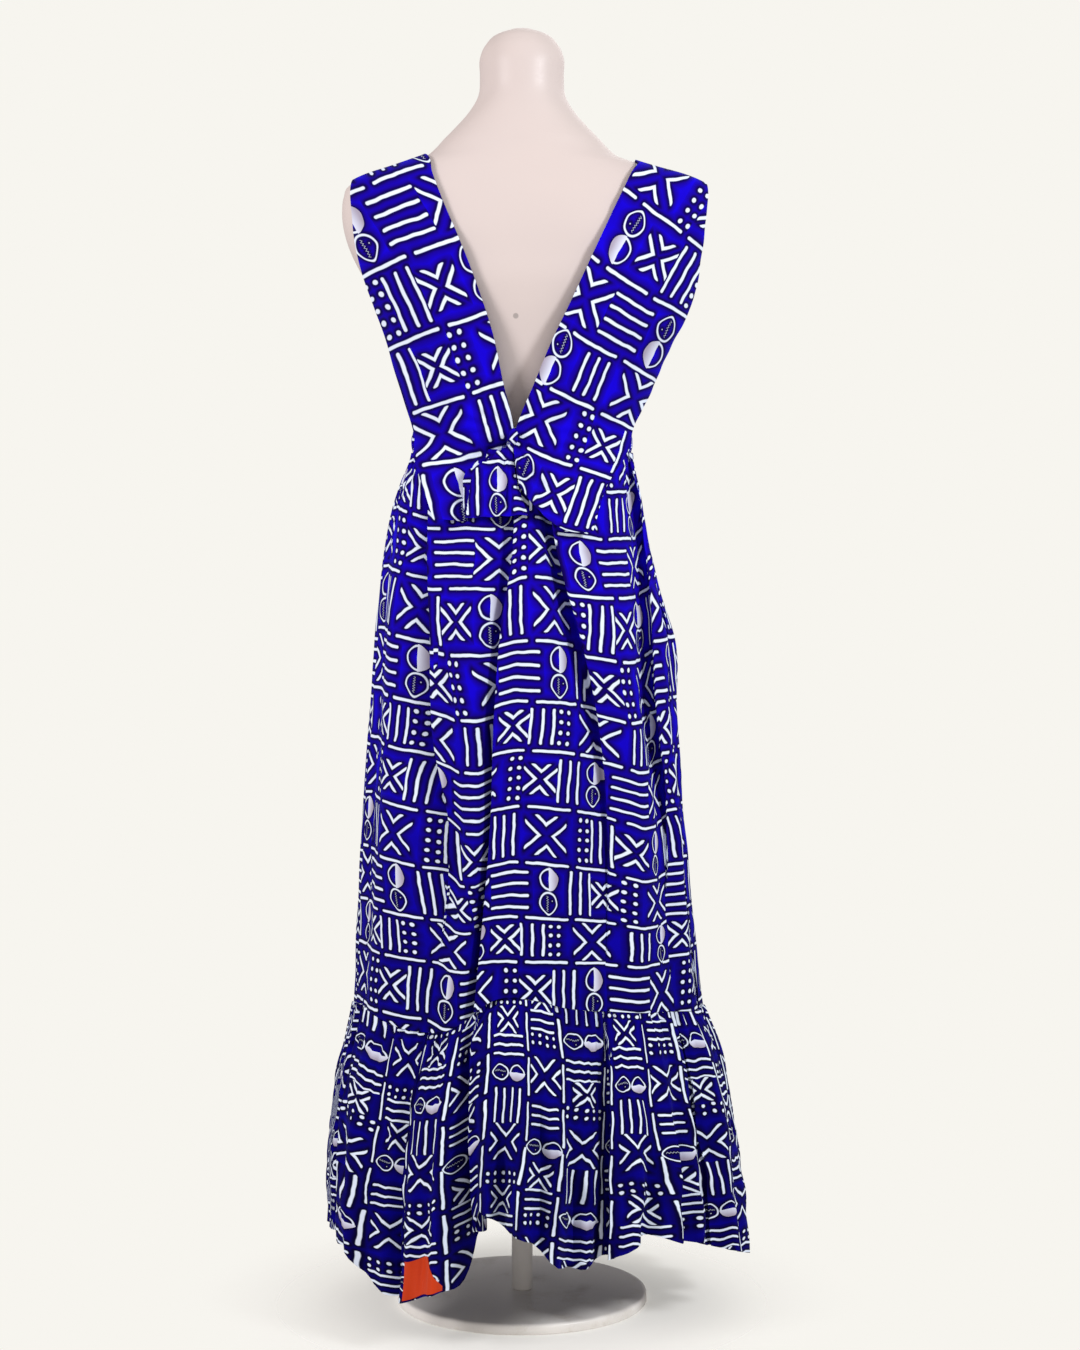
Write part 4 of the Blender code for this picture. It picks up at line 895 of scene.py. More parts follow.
# Where the print lies on the skirt. Its middle line hangs down the fold under the knot
skirtPrint = {
    "middle": ((0.91, -0.0024), (0.83, -0.0024), (0.76, -0.0001), (0.705, -0.0013), (0.645, -0.0070),
               (0.415, -0.0115)),  # height, x
    "rows": ((1.10, -160), (0.9386, 0), (0.8694, 66), (0.7967, 131), (0.7281, 192), (0.672, 246),
             (0.608, 312), (0.545, 377), (0.4844, 438), (0.435, 492), (0.369, 558), (0.30, 629)),
    "scale": ((1.0, 1.10), (0.83, 1.08), (0.60, 1.0), (0.36, 0.99)),  # height, metres of cloth to a metre
    # how much lower than on the middle line the rows lie, in photo steps of 1.14 mm, by place, at 0.83 and
    # 0.58 m
    "drop": ((-1.0, -12, -6), (0.0, -12, -6), (0.5, -5, 2), (0.999, 4, 11), (1.0, 12, 12), (1.35, 12, 25),
             (1.75, 12, 26), (1.999, 12, 16), (2.0, 5, 3), (2.2, 0, -3), (2.4, 0, -2), (2.6, 0, 2),
             (2.8, 2, 6), (2.999, 5, 10), (3.0, 17, 12), (3.4, 22, 24), (3.8, 21, 24), (3.999, 20, 20),
             (4.0, 0, 10), (4.999, -4, 8), (6.0, -4, 8)),
    "dropStep": 0.00114,
    "dropBetween": (0.58, 0.83),  # the two heights
    "dropFades": {"below": 0.54, "within": 0.12, "by": 0.6},
    # how far the print is pulled sideways low down, in mm, by place: from nothing at 0.72 m to all at 0.52 m
    "pull": ((-1.0, 17), (0.2, 17), (1.0, 6), (1.4, 0), (2.6, 0), (3.0, -5), (3.5, -10), (6.0, -10)),
    "pullBetween": (0.72, 0.52),
    "hiddenBetween": (0.05, 0.8),  # the part of a tuck's columns that the hidden print is spread over
    "middleFold": 2,
}


# the drop of the print's rows, in metres, by place and height
def printDrop(place, through, height):
    rows = np.array(skirtPrint["drop"])
    at = np.where(through >= 0, place - 0.001 + 0.001 * through, place)
    upper, lower = (np.interp(at, rows[:, 0], rows[:, i]) for i in (1, 2))
    low, high = skirtPrint["dropBetween"]
    blend = np.clip((height - low) / (high - low), 0, 1)
    fades = skirtPrint["dropFades"]
    fade = 1 - fades["by"] * np.clip((fades["below"] - height) / fades["within"], 0, 1)
    return (upper * blend + lower * (1 - blend) * fade) * skirtPrint["dropStep"]


# print coordinates: u is the length of cloth from the middle line, with the cloth hidden in each tuck
# squeezed into it, v is the row that the height falls in
def skirtUv(grid, place, through, height, middle, level):
    step = np.linalg.norm(np.diff(grid, axis=1), axis=-1)
    scale = np.array(skirtPrint["scale"])
    step = step / smoothCurve(scale[:, 0], scale[:, 1], height[:, 1:])
    inTuck = (through[1:] >= 0) & (through[:-1] >= 0)
    for number in np.unique(place[through >= 0]).astype(int):
        at = np.where(inTuck & (place[1:] == number))[0]
        amount = tuckValue(tucks, number, height[:, at[0]], 1) / 1000
        share = np.diff(rise(np.stack([through[at], through[at + 1]]), *skirtPrint["hiddenBetween"]), axis=0)[0]
        step[:, at] = amount[:, None] * share + 0.0001
    u = np.concatenate([0 * step[:, :1], np.cumsum(step, axis=1)], axis=1)
    zero = np.stack([np.interp(middle[i], grid[i, :, 0][level], u[i][level]) for i in range(len(u))])
    return u - zero[:, None]


# gathers: how high, by what length down they fade, how far apart, round which radius, how uneven
skirtGathers = {"height": 0.0030, "fade": 0.05, "pitch": 0.0095, "radius": 0.125, "uneven": (1.4, 17)}
skirtCreases = {"radius": 0.17, "seed": 5, "size": 0.0011, "between": (1.03, 0.93)}
tuckStart = {"share": 0.25, "all": 0.10}  # at the waistband the tucks stand by this share, lower down by all


# the grid's unit normals, pointing away from the axis
def outwardNormals(grid, ring=False):
    normals = gridNormals(grid, ring)
    return normals * np.sign(np.mean(normals[..., :2] * grid[..., :2]))


# r = the skirt's outline + depth * fold profile + gathers + creases, then the tucks
def makeSkirtPanel(name, start, stop):
    place, through = panelColumns(start, stop, skirtGrid["foldColumns"], skirtGrid["tuckColumns"])
    down = np.linspace(0, 1, skirtGrid["rows"])[:, None] ** skirtGrid["crowding"]
    top = clothShape["waistBottom"] - clothShape["seamGap"]
    seamAngle = placeAngle(place, np.full((1, len(place)), clothShape["ruffleSeam"]))[0]
    bottom = clothShape["ruffleSeam"] + roundTable(seamLift, np.degrees(seamAngle))
    height = top + (bottom - top) * down
    level = top + (clothShape["ruffleSeam"] - top) * down + 0 * height
    angle = placeAngle(place, level)
    sizes = [lookUp(skirtSizes, key, level) for key in skirtSizes["columns"][1:]]
    outline = outlineRadius(angle, *sizes, clothShape["squareness"])
    flat = byAngle(outline, angle, height)
    radius = outline + foldValue("depth", place) * lookUp(foldDepths, "share", level) * foldProfile(place)
    fade = np.exp(-(clothShape["waistTop"] - level) / skirtGathers["fade"])
    radius += skirtGathers["height"] * fade * gatherWaves(angle, skirtGathers)
    radius += panelCreases(angle, level, skirtCreases) * rise(level, *skirtCreases["between"])
    left, right = tuckStrength(place, height, tucks)
    soft = tuckStart["share"] + (1 - tuckStart["share"]) * rise(down, 0, tuckStart["all"])
    angle, radius = withTucks(angle, radius, height, place, through, left * soft, right * soft)
    grid = byAngle(radius, angle, height)
    uv = skirtPanelUv(flat, place, through, height, start)
    return clothShell(name, grid, -outwardNormals(grid), uv, waxPrint, clothShape["thickness"])


# the back's print hangs from its middle line, pulled and dropped by the tables; the front's lies level
def skirtPanelUv(grid, place, through, height, start):
    rows = np.array(skirtPrint["rows"])
    if start > foldCount - 1:
        line, pull = np.array(skirtPrint["middle"]), np.array(skirtPrint["pull"])
        middle = smoothCurve(line[:, 0], line[:, 1], height[:, len(place) // 2])
        own = place - foldCount
        level = (own > skirtPrint["middleFold"]) & (own < skirtPrint["middleFold"] + 1) & (through < 0)
        u = skirtUv(grid, place, through, height, middle, level)
        above, below = skirtPrint["pullBetween"]
        u += (np.interp(own, pull[:, 0], pull[:, 1]) / 1000
              * np.clip((above - height) / (above - below), 0, 1))
        height = height + printDrop(own, through, height)
    else:
        u = skirtUv(grid, place, through, height, 0 * height[:, 0], slice(None))
    v = np.interp(-height, -rows[:, 0], rows[:, 1]) / 1000
    return np.stack([u, v], -1)


print("skirt")
skirtBack = makeSkirtPanel("skirt_back_cloth", sideSeams["left"], sideSeams["right"])
skirtFront = makeSkirtPanel("skirt_front_cloth", sideSeams["right"] - foldCount, sideSeams["left"])


# The ruffle: one strip with the print turned a quarter, gathered to the skirt

ruffleGrid = {"rows": 64, "foldColumns": 30, "tuckColumns": 11}
ruffleTucks = {  # as the skirt's
    2: ((0.36, 30, 1), (0.30, 45, 1), (0.20, 70, 1), (0.10, 80, 1)),
    3: ((0.36, 4, 0.15), (0.30, 20, 0.7), (0.20, 40, 1), (0.10, 45, 1)),
    "others": ((0.34, 4, 0.15), (0.28, 6, 0.25), (0.10, 8, 0.3)),
}
ruffleGathers = {"height": 0.0026, "fade": 0.16, "left": 0.0006, "pitch": 0.0125, "radius": 0.19,
                 "uneven": (1.7, 13), "lean": 2.5}
ruffleCreases = {"radius": 0.20, "seed": 11, "size": 0.0034, "between": (0.05, 0.4)}
waveShape = {"least": 0.0012, "fullRoom": 13.5,  # degrees to a wave from which it stands in full
             "uneven": ((0.35, 5.3, 2.2), (0.2, 11.9, -3.1)), "bend": (0.7, 3.5)}


# waves that deepen towards the hem: height times sin(waves times share), shallower in narrow folds
def ruffleWaves(place, down):
    width = (ownValue("hem", place + 1) - ownValue("hem", place)) % 360
    waves = ownValue("waves", place)
    room = np.clip(width / waves / waveShape["fullRoom"], 0, 1)
    tall = waveShape["least"] + (foldValue("waveHeight", place) - waveShape["least"]) * rise(down, 0, 1)
    share = place - np.floor(place)
    uneven = 1 + sum(size * np.sin(place * along + lean * down) for size, along, lean in waveShape["uneven"])
    bend = waveShape["bend"][0] * np.sin(waveShape["bend"][1] * down + place)
    return tall * room * uneven * np.sin(tau * waves * share - math.pi / 3 + bend)


ruffleUnit = 0.86
# where the print lies across the ruffle: place (fold + share) and print row, from left to right
rufflePrint = ((-1.0, 0.330), (-0.22, 0.208), (0.66, 0.131), (1.05, 0.066), (1.75, 0.0), (2.0, -0.040),
               (2.0, -0.160), (2.12, -0.180), (2.38, -0.246), (2.61, -0.300), (3.0, -0.361),
               (3.0, -0.426), (3.39, -0.492), (4.04, -0.570), (4.70, -0.650), (6.0, -0.800))
ruffleSway = {"shift": 0.009, "around": 2.9, "start": 0.6, "turns": 0.75}  # the gathered cloth hangs askew
frontPitch = 0.10  # metres of print to a fold of the plain front


# the skirt's outline at the seam + the flare + depth * fold profile + waves + gathers + creases, then the tucks
def makeRufflePanel(name, start, stop):
    place, through = panelColumns(start, stop, ruffleGrid["foldColumns"], ruffleGrid["tuckColumns"])
    down = np.linspace(0, 1, ruffleGrid["rows"])[:, None]
    seam, hemLevel = clothShape["ruffleSeam"], folds["levels"][-1]
    angle = placeAngle(place, seam + (hemLevel - seam) * (down + 0 * place))
    top = seam + roundTable(seamLift, np.degrees(placeAngle(place, np.full((1, len(place)), seam))[0]))
    top = top - clothShape["seamGap"]
    hem = roundTable(hemHeights, np.degrees(angle))
    height = top + (hem - top) * down
    sizes = [lookUp(skirtSizes, key, seam) + lookUp(ruffleFlare, key, down)
             for key in skirtSizes["columns"][1:]]
    radius = outlineRadius(angle, *sizes, clothShape["squareness"])
    depth = (foldValue("depth", place) * foldDepths["rows"][-1][1] * (1 - down)
             + foldValue("hemDepth", place) * down)
    radius += depth * foldProfile(place) + ruffleWaves(place, down) * rise(down, 0, 0.08)
    tall = ruffleGathers["height"] * np.exp(-down / ruffleGathers["fade"]) + ruffleGathers["left"]
    radius += tall * gatherWaves(angle, ruffleGathers, ruffleGathers["lean"] * down)
    radius += panelCreases(angle, height, ruffleCreases) * rise(down, *ruffleCreases["between"])
    left, right = tuckStrength(place, height, ruffleTucks)
    soft = rise(down, 0, 0.15)
    angle, radius = withTucks(angle, radius, height, place, through, left * soft, right * soft)
    grid = byAngle(radius, angle, height)
    uv = rufflePanelUv(grid, place, through, start)
    return clothShell(name, grid, -outwardNormals(grid), uv, waxPrint, clothShape["thickness"]), grid


# u is the length of cloth below the seam over the unit; v the print row by place, spread between two rows
# of the table by the length of cloth across, + shift * sin(around * place + start) * sin(2 pi * turns * down)
def rufflePanelUv(grid, place, through, start):
    step = np.linalg.norm(np.diff(grid, axis=0), axis=-1)
    u = np.concatenate([0 * step[:1], np.cumsum(step, axis=0)]) / ruffleUnit
    if start > foldCount - 1:
        rows = np.array(rufflePrint)
        at = place - foldCount + np.where(through >= 0, -1e-6 + 2e-6 * through, 0)
        knots = rows[:, 0] + np.where(np.append(np.diff(rows[:, 0]) == 0, False), -1e-6, 0)
        knots = knots + np.where(np.append(False, np.diff(rows[:, 0]) == 0), 1e-6, 0)
        lengths = np.linalg.norm(np.diff(grid, axis=1), axis=-1)
        across = np.concatenate([0 * lengths[:, :1], np.cumsum(lengths, axis=1)], axis=1)
        v = np.stack([np.interp(row, np.interp(knots, at, row), rows[:, 1]) for row in across])
        down = np.linspace(0, 1, len(grid))[:, None]
        sway = np.sin(ruffleSway["around"] * at + ruffleSway["start"])
        v = v + ruffleSway["shift"] * sway * np.sin(tau * ruffleSway["turns"] * down)
    else:
        v = -place * frontPitch
    return np.stack([u, v + 0 * u], -1)


print("ruffle")
ruffleBack, ruffleBackGrid = makeRufflePanel("ruffle_back_cloth", sideSeams["left"], sideSeams["right"])
ruffleFront = makeRufflePanel("ruffle_front_cloth", sideSeams["right"] - foldCount, sideSeams["left"])[0]


# The waistband: an elastic casing, gathered all round

waistShape = {"rows": 14, "columns": 420, "radius": 0.12, "gather": 0.0016, "pitch": 0.0085,
              "uneven": (1.3, 9), "edges": 0.12, "bulge": 0.0012, "inset": 0.001,
              "fullness": 1.5, "printRow": -0.075, "printHeight": 0.028}


# r = the skirt's top ring + gathers, rounded over at both edges of the casing
def makeWaistband():
    count = waistShape["columns"]
    angle = np.linspace(-math.pi, math.pi, count, endpoint=False)[None, :]
    down = np.linspace(0, 1, waistShape["rows"])[:, None]
    height = clothShape["waistTop"] + (clothShape["waistBottom"] - clothShape["waistTop"]) * down
    level = clothShape["waistBottom"] + 0 * height
    sizes = [lookUp(skirtSizes, key, level) for key in skirtSizes["columns"][1:]]
    radius = outlineRadius(angle + 0 * down, *sizes, clothShape["squareness"])
    girth = tau * waistShape["radius"]
    cycles = round(girth / waistShape["pitch"])
    amount, often = waistShape["uneven"]
    flatten = np.sin(math.pi * np.clip(down, waistShape["edges"], 1 - waistShape["edges"]))
    radius += waistShape["gather"] * np.sin(angle * cycles + amount * np.sin(angle * often)) * flatten
    radius += waistShape["bulge"] * (1 - (2 * down - 1) ** 4) - waistShape["inset"]
    grid = byAngle(radius, angle + 0 * down, height + 0 * angle)
    repeat = printChart["across"] / 1000
    around = round(girth * waistShape["fullness"] / repeat) * repeat
    u = (angle / tau * around) + 0 * down
    v = waistShape["printRow"] + (down - 1) * waistShape["printHeight"] + 0 * angle
    return clothShell("waistband_cloth", grid, -outwardNormals(grid, ring=True), np.stack([u, v], -1),
                      waxPrint, clothShape["thickness"], ring=around)


print("waistband")
waistband = makeWaistband()


# The bodice: two knotted back panels and a plain front, on the surface that hangs from the shoulders

drapeSizes = {
    "columns": ("height", "left", "right", "back", "frontLeft", "frontRight", "front", "squareness"),
    "rows": [
        (1.245, 0.206, 0.215, 0.110, 0.206, 0.212, 0.113, 2.5),
        (1.215, 0.196, 0.212, 0.111, 0.192, 0.203, 0.123, 2.5),
        (1.190, 0.185, 0.205, 0.111, 0.177, 0.187, 0.127, 2.5),
        (1.165, 0.173, 0.194, 0.111, 0.163, 0.172, 0.125, 2.5),
        (1.135, 0.161, 0.175, 0.110, 0.150, 0.154, 0.120, 2.4),
        (1.100, 0.153, 0.160, 0.110, 0.140, 0.142, 0.113, 2.3),
        (1.070, 0.146, 0.150, 0.110, 0.134, 0.134, 0.108, 2.2),
        (1.042, 0.1380, 0.1380, 0.1100, 0.130, 0.130, 0.104, 2.15),
        (1.017, 0.1375, 0.1375, 0.1090, 0.130, 0.130, 0.104, 2.15),
        (0.980, 0.1510, 0.1415, 0.1200, 0.140, 0.140, 0.110, 2.15),
        (0.944, 0.1620, 0.1505, 0.1310, 0.150, 0.150, 0.118, 2.15),
        (0.900, 0.1720, 0.1640, 0.1420, 0.160, 0.160, 0.126, 2.15),
    ],
}
shoulderShape = {
    "levels": (1.376, 1.367, 1.359, 1.351, 1.343, 1.334, 1.320, 1.302, 1.278),
    "out": 0.0023,
    "slopeRoom": 0.0035,
    "rightOverhang": 0.012,
    "overhangFades": (1.330, 1.362),
    "inner": {"left": 1.368, "right": 1.361},
    "outer": {"left": 1.3385, "right": 1.334},
    "frontNeckDepth": 0.100,
}
for level in shoulderShape["levels"]:
    out = shoulderShape["out"]
    half, back, front, square = (float(lookUp(formShape, name, level - out))
                                 for name in ("halfWidth", "back", "front", "squareness"))
    over = shoulderShape["rightOverhang"] * (1 - float(rise(level, *shoulderShape["overhangFades"])))
    right, room = half + out + over, out + shoulderShape["slopeRoom"]
    drapeSizes["rows"].append((level, half + out, right, back + room, half + out, right, front + room,
                               square))

backPanels = {
    "left": {
        "columns": ("innerHeight", "innerX", "outerHeight", "outerX"),
        "rows": ((1.363, -0.1110, 1.322, -0.2005), (1.337, -0.1030, 1.300, -0.1990),
                 (1.302, -0.0900, 1.262, -0.1950), (1.262, -0.0730, 1.225, -0.1870),
                 (1.205, -0.0510, 1.185, -0.1730), (1.150, -0.0330, 1.140, -0.1570),
                 (1.085, -0.0190, 1.090, -0.1430), (1.058, -0.0120, 1.066, -0.1352),
                 (1.031, -0.0080, 1.041, -0.1270), (0.990, -0.0074, 0.992, -0.1140),
                 (0.940, 0.0080, 0.934, -0.0965)),
        "bow": 0.0,
        "fan": {"folds": 3, "reach": 0.62, "height": 0.0045, "knot": 0.787},
        "flare": 0.012,  # how far the tail's outer edge stands off below the waist
        # from (x, height) to (x, height), depth, width, lip
        "creases": (((-0.0120, 1.0200), (-0.0190, 0.9360), 0.0030, 0.005, 0.0015),),
        # the part wrapped round the knot lies over the rest from this line on, as (height, x); its own print
        # stands at (x, height), with this many metres to one of print
        "wrap": {"line": ((0.9405, -0.0635), (0.9601, -0.0601), (0.9750, -0.0589), (0.9877, -0.0543),
                          (0.9992, -0.0451), (1.0130, -0.0279), (1.0268, -0.0095)),
                 "depth": 0.0125, "width": 0.022, "lip": 0.0045,
                 "print": (0.097, 0.033), "at": (-0.0266, 0.9652), "scale": (0.93, 1.05)},
        # print coordinates in mm: constant, per x, per height, per x squared, per both, per height squared
        "u": (125.8, 743.1, 301.1, 342.2, -57.9, 374.0),
        "v": (135.1, 218.9, -703.8, 33.8, -29.8, 226.3),
        "middle": -0.09,
    },
    "right": {
        "columns": ("innerHeight", "innerX", "outerHeight", "outerX"),
        "rows": ((1.356, 0.1350, 1.322, 0.2190), (1.335, 0.1260, 1.300, 0.2170),
                 (1.290, 0.1050, 1.262, 0.2130), (1.240, 0.0820, 1.222, 0.2080),
                 (1.190, 0.0590, 1.180, 0.1960), (1.140, 0.0350, 1.135, 0.1730),
                 (1.085, 0.0120, 1.080, 0.1490), (1.058, 0.0004, 1.061, 0.1390),
                 (1.031, -0.0082, 1.042, 0.1290), (1.000, -0.0070, 1.012, 0.1170),
                 (0.988, -0.0055, 0.975, 0.0955), (0.972, -0.0020, 0.920, 0.0790)),
        "bow": -0.018,
        "fan": {"folds": 2, "reach": 0.42, "height": 0.0030, "knot": 0.850},
        "flare": 0.004,
        "creases": (
            ((0.0620, 0.9900), (-0.0050, 1.0260), 0.0022, 0.012, 0.0015),
            ((0.0350, 0.9620), (-0.0040, 1.0180), 0.0020, 0.010, 0.0012),
        ),
        "u": (158.8, -798.2, 375.5, -457.6, 747.1, 100.1),
        "v": (12.7, 387.4, 696.6, -407.9, 709.3, -446.5),
        "middle": 0.09,
    },
}
bodiceGrid = {"rows": 170, "columns": 84, "crowding": 1.6, "pinch": 0.75, "pinchLength": 0.12,
              "flatDrape": (0.10, 0.40), "rightOverLeft": 0.0045, "fanFrom": -0.03, "fanGrows": 0.09,
              "fanFades": 0.75, "flareFrom": 0.6, "waistSoft": 0.02}
creaseShape = {"starts": (-0.004, 0.010), "ends": (0.75, 1.1), "drop": 0.0016, "lipWidth": 0.006,
               "lipStart": 0.002}  # metres, and ends as shares of the length
wrapShape = {"slant": 0.8, "edge": 0.0006, "end": 0.004, "endFades": 0.014, "lipLength": 0.012}
# soft creases like rays round the knot at (x, height), and others over the whole panel
strainCreases = {"knot": (-0.0108, 1.031), "rays": 23, "bend": (1.5, 40), "reach": 0.05, "height": 0.0010,
                 "lean": 0.3, "seed": 21, "size": 0.0007}


# half width of the drape on the left or right of its back (facing 1) or front (facing -1)
def drapeHalves(side, height, facing):
    names = ("left", "right") if facing > 0 else ("frontLeft", "frontRight")
    left, right = (lookUp(drapeSizes, name, height) for name in names)
    return np.where(np.asarray(side) < 0, left, right)


# a point of the drape: x = half width times |sin t|^(2/n), y = depth times cos t^(2/n)
def onDrape(turn, height, facing):
    sine, cosine = np.sin(np.radians(turn)), np.cos(np.radians(turn))
    square = lookUp(drapeSizes, "squareness", height)
    depth = lookUp(drapeSizes, "back" if facing > 0 else "front", height)
    across = drapeHalves(sine, height, facing) * np.sign(sine) * np.abs(sine) ** (2 / square)
    along = -facing * depth * np.clip(cosine, 0, 1) ** (2 / square)
    return np.stack([across, along, height + 0 * across], -1)


# the turn of the point of the drape that lies at x
def turnOf(x, height, facing):
    share = np.clip(np.abs(x) / drapeHalves(x, height, facing), 0, 1)
    square = lookUp(drapeSizes, "squareness", height)
    return np.sign(x) * np.degrees(np.arcsin(share ** (square / 2)))


# Coons patch: both pairs of edges blended straight across, less the corners' own blend
def blendEdges(across, down, inner, outer, top, bottom):
    u, v = across[..., None], down[..., None]
    start, end = 0 * across, 0 * across + 1
    corners = ((1 - u) * (1 - v) * top(start) + u * (1 - v) * top(end)
               + (1 - u) * v * bottom(start) + u * v * bottom(end))
    return (1 - v) * top(across) + v * bottom(across) + (1 - u) * inner(down) + u * outer(down) - corners


# the drape inside four edges of (x, height): columns spaced by x near the shoulders and by turn below
def panelSurface(across, down, edges, facing):
    byX = blendEdges(across, down, *edges)
    height = byX[..., 1]

    def turnedEdge(edge):
        def asTurn(share):
            x, level = np.moveaxis(edge(share), -1, 0)
            return np.stack([turnOf(x, level, facing), level], -1)
        return asTurn

    byTurn = blendEdges(across, down, *(turnedEdge(edge) for edge in edges))
    mix = rise(down, *bodiceGrid["flatDrape"])
    turn = turnOf(byX[..., 0], height, facing) * (1 - mix) + byTurn[..., 0] * mix
    return onDrape(turn, height, facing)


# the shoulder seam, from the neck to the tip, by the share along it
def shoulderLine(side, sign, facing):
    start, end = shoulderShape["inner"][side], shoulderShape["outer"][side]

    def line(share):
        height = start + (end - start) * share
        return np.stack([onDrape(90.0 * sign + 0 * share, height, facing)[..., 0], height], -1)
    return line


# an edge of a back panel: a cubic curve of x over height, from the shoulder seam to the hem
def edgeOf(panel, edge, start):
    rows = np.array(panel["rows"])
    xs = np.append(start[0], rows[:, panel["columns"].index(edge + "X")])
    heights = np.append(start[1], rows[:, panel["columns"].index(edge + "Height")])

    def line(share):
        height = start[1] + (heights[-1] - start[1]) * share
        return np.stack([smoothCurve(heights, xs, height), height], -1)
    return line


# a quadratic in x and height, the lie of the print on a panel, in metres of print
def printLie(panel, grid):
    x, z = grid[..., 0] - panel["middle"], grid[..., 2] - 1.15
    terms = np.stack([1 + 0 * x, x, z, x * x, x * z, z * z], -1)
    return np.stack([terms @ np.array(panel["u"]), terms @ np.array(panel["v"])], -1) / 1000


# a crease along a line from (x, z) to (x, z): the cloth drops behind it on its right-hand side and comes
# back within the width; a lip stands on its other side
def lineCrease(x, z, crease):
    (x0, z0), (x1, z1), depth, width, lip = crease
    length = math.hypot(x1 - x0, z1 - z0)
    alongX, alongZ = (x1 - x0) / length, (z1 - z0) / length
    along = (x - x0) * alongX + (z - z0) * alongZ
    aside = (z - z0) * alongX - (x - x0) * alongZ
    fades = rise(along, *creaseShape["starts"]) * (1 - rise(along / length, *creaseShape["ends"]))
    behind, over, start = (np.exp(-((aside / size) ** 2)) for size in (
        np.where(aside > 0, width, creaseShape["drop"]), creaseShape["lipWidth"], creaseShape["lipStart"]))
    over = over * (aside < 0) * (1 - start)
    return (lip * over - depth * behind) * fades


# left of the line the cloth dives under, by a bell of the distance; right of it the wrapped part's lip
# stands up and falls away, and the print there is its own
def wrapOver(x, z, wrap, uv):
    line = np.array(wrap["line"])
    aside = (x - np.interp(z, line[:, 0], line[:, 1])) * wrapShape["slant"]
    on = rise(aside, -wrapShape["edge"], wrapShape["edge"])
    below = rise(line[-1, 0] + wrapShape["end"] - z, 0, wrapShape["endFades"])
    step = (on * wrap["lip"] * np.exp(-aside / wrapShape["lipLength"])
            - (1 - on) * wrap["depth"] * np.exp(-((aside / wrap["width"]) ** 2)))
    own = [wrap["print"][0] + (x - wrap["at"][0]) / wrap["scale"][0],
           wrap["print"][1] - (z - wrap["at"][1]) / wrap["scale"][1]]
    wrapped = (aside > 0) & (z < line[-1, 0])
    return step * below, np.where(wrapped[..., None], np.stack(own, -1), uv)


# columns^pinch crowds the cloth together at the knot; folds fan out from there below it
def makeBackPanel(side):
    panel = backPanels[side]
    fan = panel["fan"]
    sign = -1 if side == "left" else 1
    columns = np.linspace(0, 1, bodiceGrid["columns"])
    down = np.linspace(0, 1, bodiceGrid["rows"])[:, None] ** bodiceGrid["crowding"] + 0 * columns
    pinch = 1 + bodiceGrid["pinch"] * np.exp(-(((down - fan["knot"]) / bodiceGrid["pinchLength"]) ** 2))
    across = columns**pinch
    top = shoulderLine(side, sign, 1)
    inner, outer = edgeOf(panel, "inner", top(np.array(0.0))), edgeOf(panel, "outer", top(np.array(1.0)))

    def bottom(share):
        start, end = inner(np.array(1.0)), outer(np.array(1.0))
        curve = start + (end - start) * share[..., None]
        curve[..., 1] += panel["bow"] * 4 * share * (1 - share)
        return curve

    grid = panelSurface(across, down, (inner, outer, top, bottom), 1)
    flat = grid.copy()
    outwards = gridNormals(grid)
    outwards *= -np.sign(outwards[bodiceGrid["rows"] // 2, bodiceGrid["columns"] // 2, 1])
    x, z = flat[..., 0], flat[..., 2]
    waistTop, waistBottom = clothShape["waistTop"], clothShape["waistBottom"]
    waistSoft = bodiceGrid["waistSoft"]
    near = np.clip((down - fan["knot"] - bodiceGrid["fanFrom"]) / bodiceGrid["fanGrows"], 0, 1)
    ends = 1 - rise(columns, fan["reach"] * bodiceGrid["fanFades"], fan["reach"])
    waves = 0.5 - 0.5 * np.cos(tau * fan["folds"] * columns / fan["reach"])
    swell = fan["height"] * near * ends * waves
    if side == "right":
        swell = swell + bodiceGrid["rightOverLeft"] * (1 - rise(z, waistBottom, waistTop + waistSoft))
    hangs = 1 - rise(z, waistBottom - waistSoft, waistTop)
    swell = swell + panel["flare"] * rise(columns, bodiceGrid["flareFrom"], 1.0) * hangs
    for crease in panel["creases"]:
        swell = swell + lineCrease(x, z, crease)
    uv = printLie(panel, flat)
    if "wrap" in panel:
        step, uv = wrapOver(x, z, panel["wrap"], uv)
        swell = swell + step
    soft = strainCreases
    aside, above = x - soft["knot"][0], z - soft["knot"][1]
    far = np.hypot(aside, above)
    rays = np.sin(np.arctan2(aside, above) * soft["rays"] + soft["bend"][0] * np.sin(far * soft["bend"][1]))
    swell = swell + soft["height"] * rays * np.exp(-((far - soft["reach"]) / soft["reach"]) ** 2)
    swell = swell + softCreases(x + z * soft["lean"], z, soft["seed"], soft["size"]) * rise(down, 0.03, 0.15)
    grid = grid + outwards * swell[..., None]
    outwards[0, :, 1] = 0
    outwards[0] /= np.linalg.norm(outwards[0], axis=-1, keepdims=True)
    grid[0, :, 1] = -clothShape["seamGap"] / 2
    return clothShell(f"back_panel_{side}", grid, -outwards, uv, waxPrint, clothShape["thickness"])


print("back panels")
panelLeft, panelRight = makeBackPanel("left"), makeBackPanel("right")


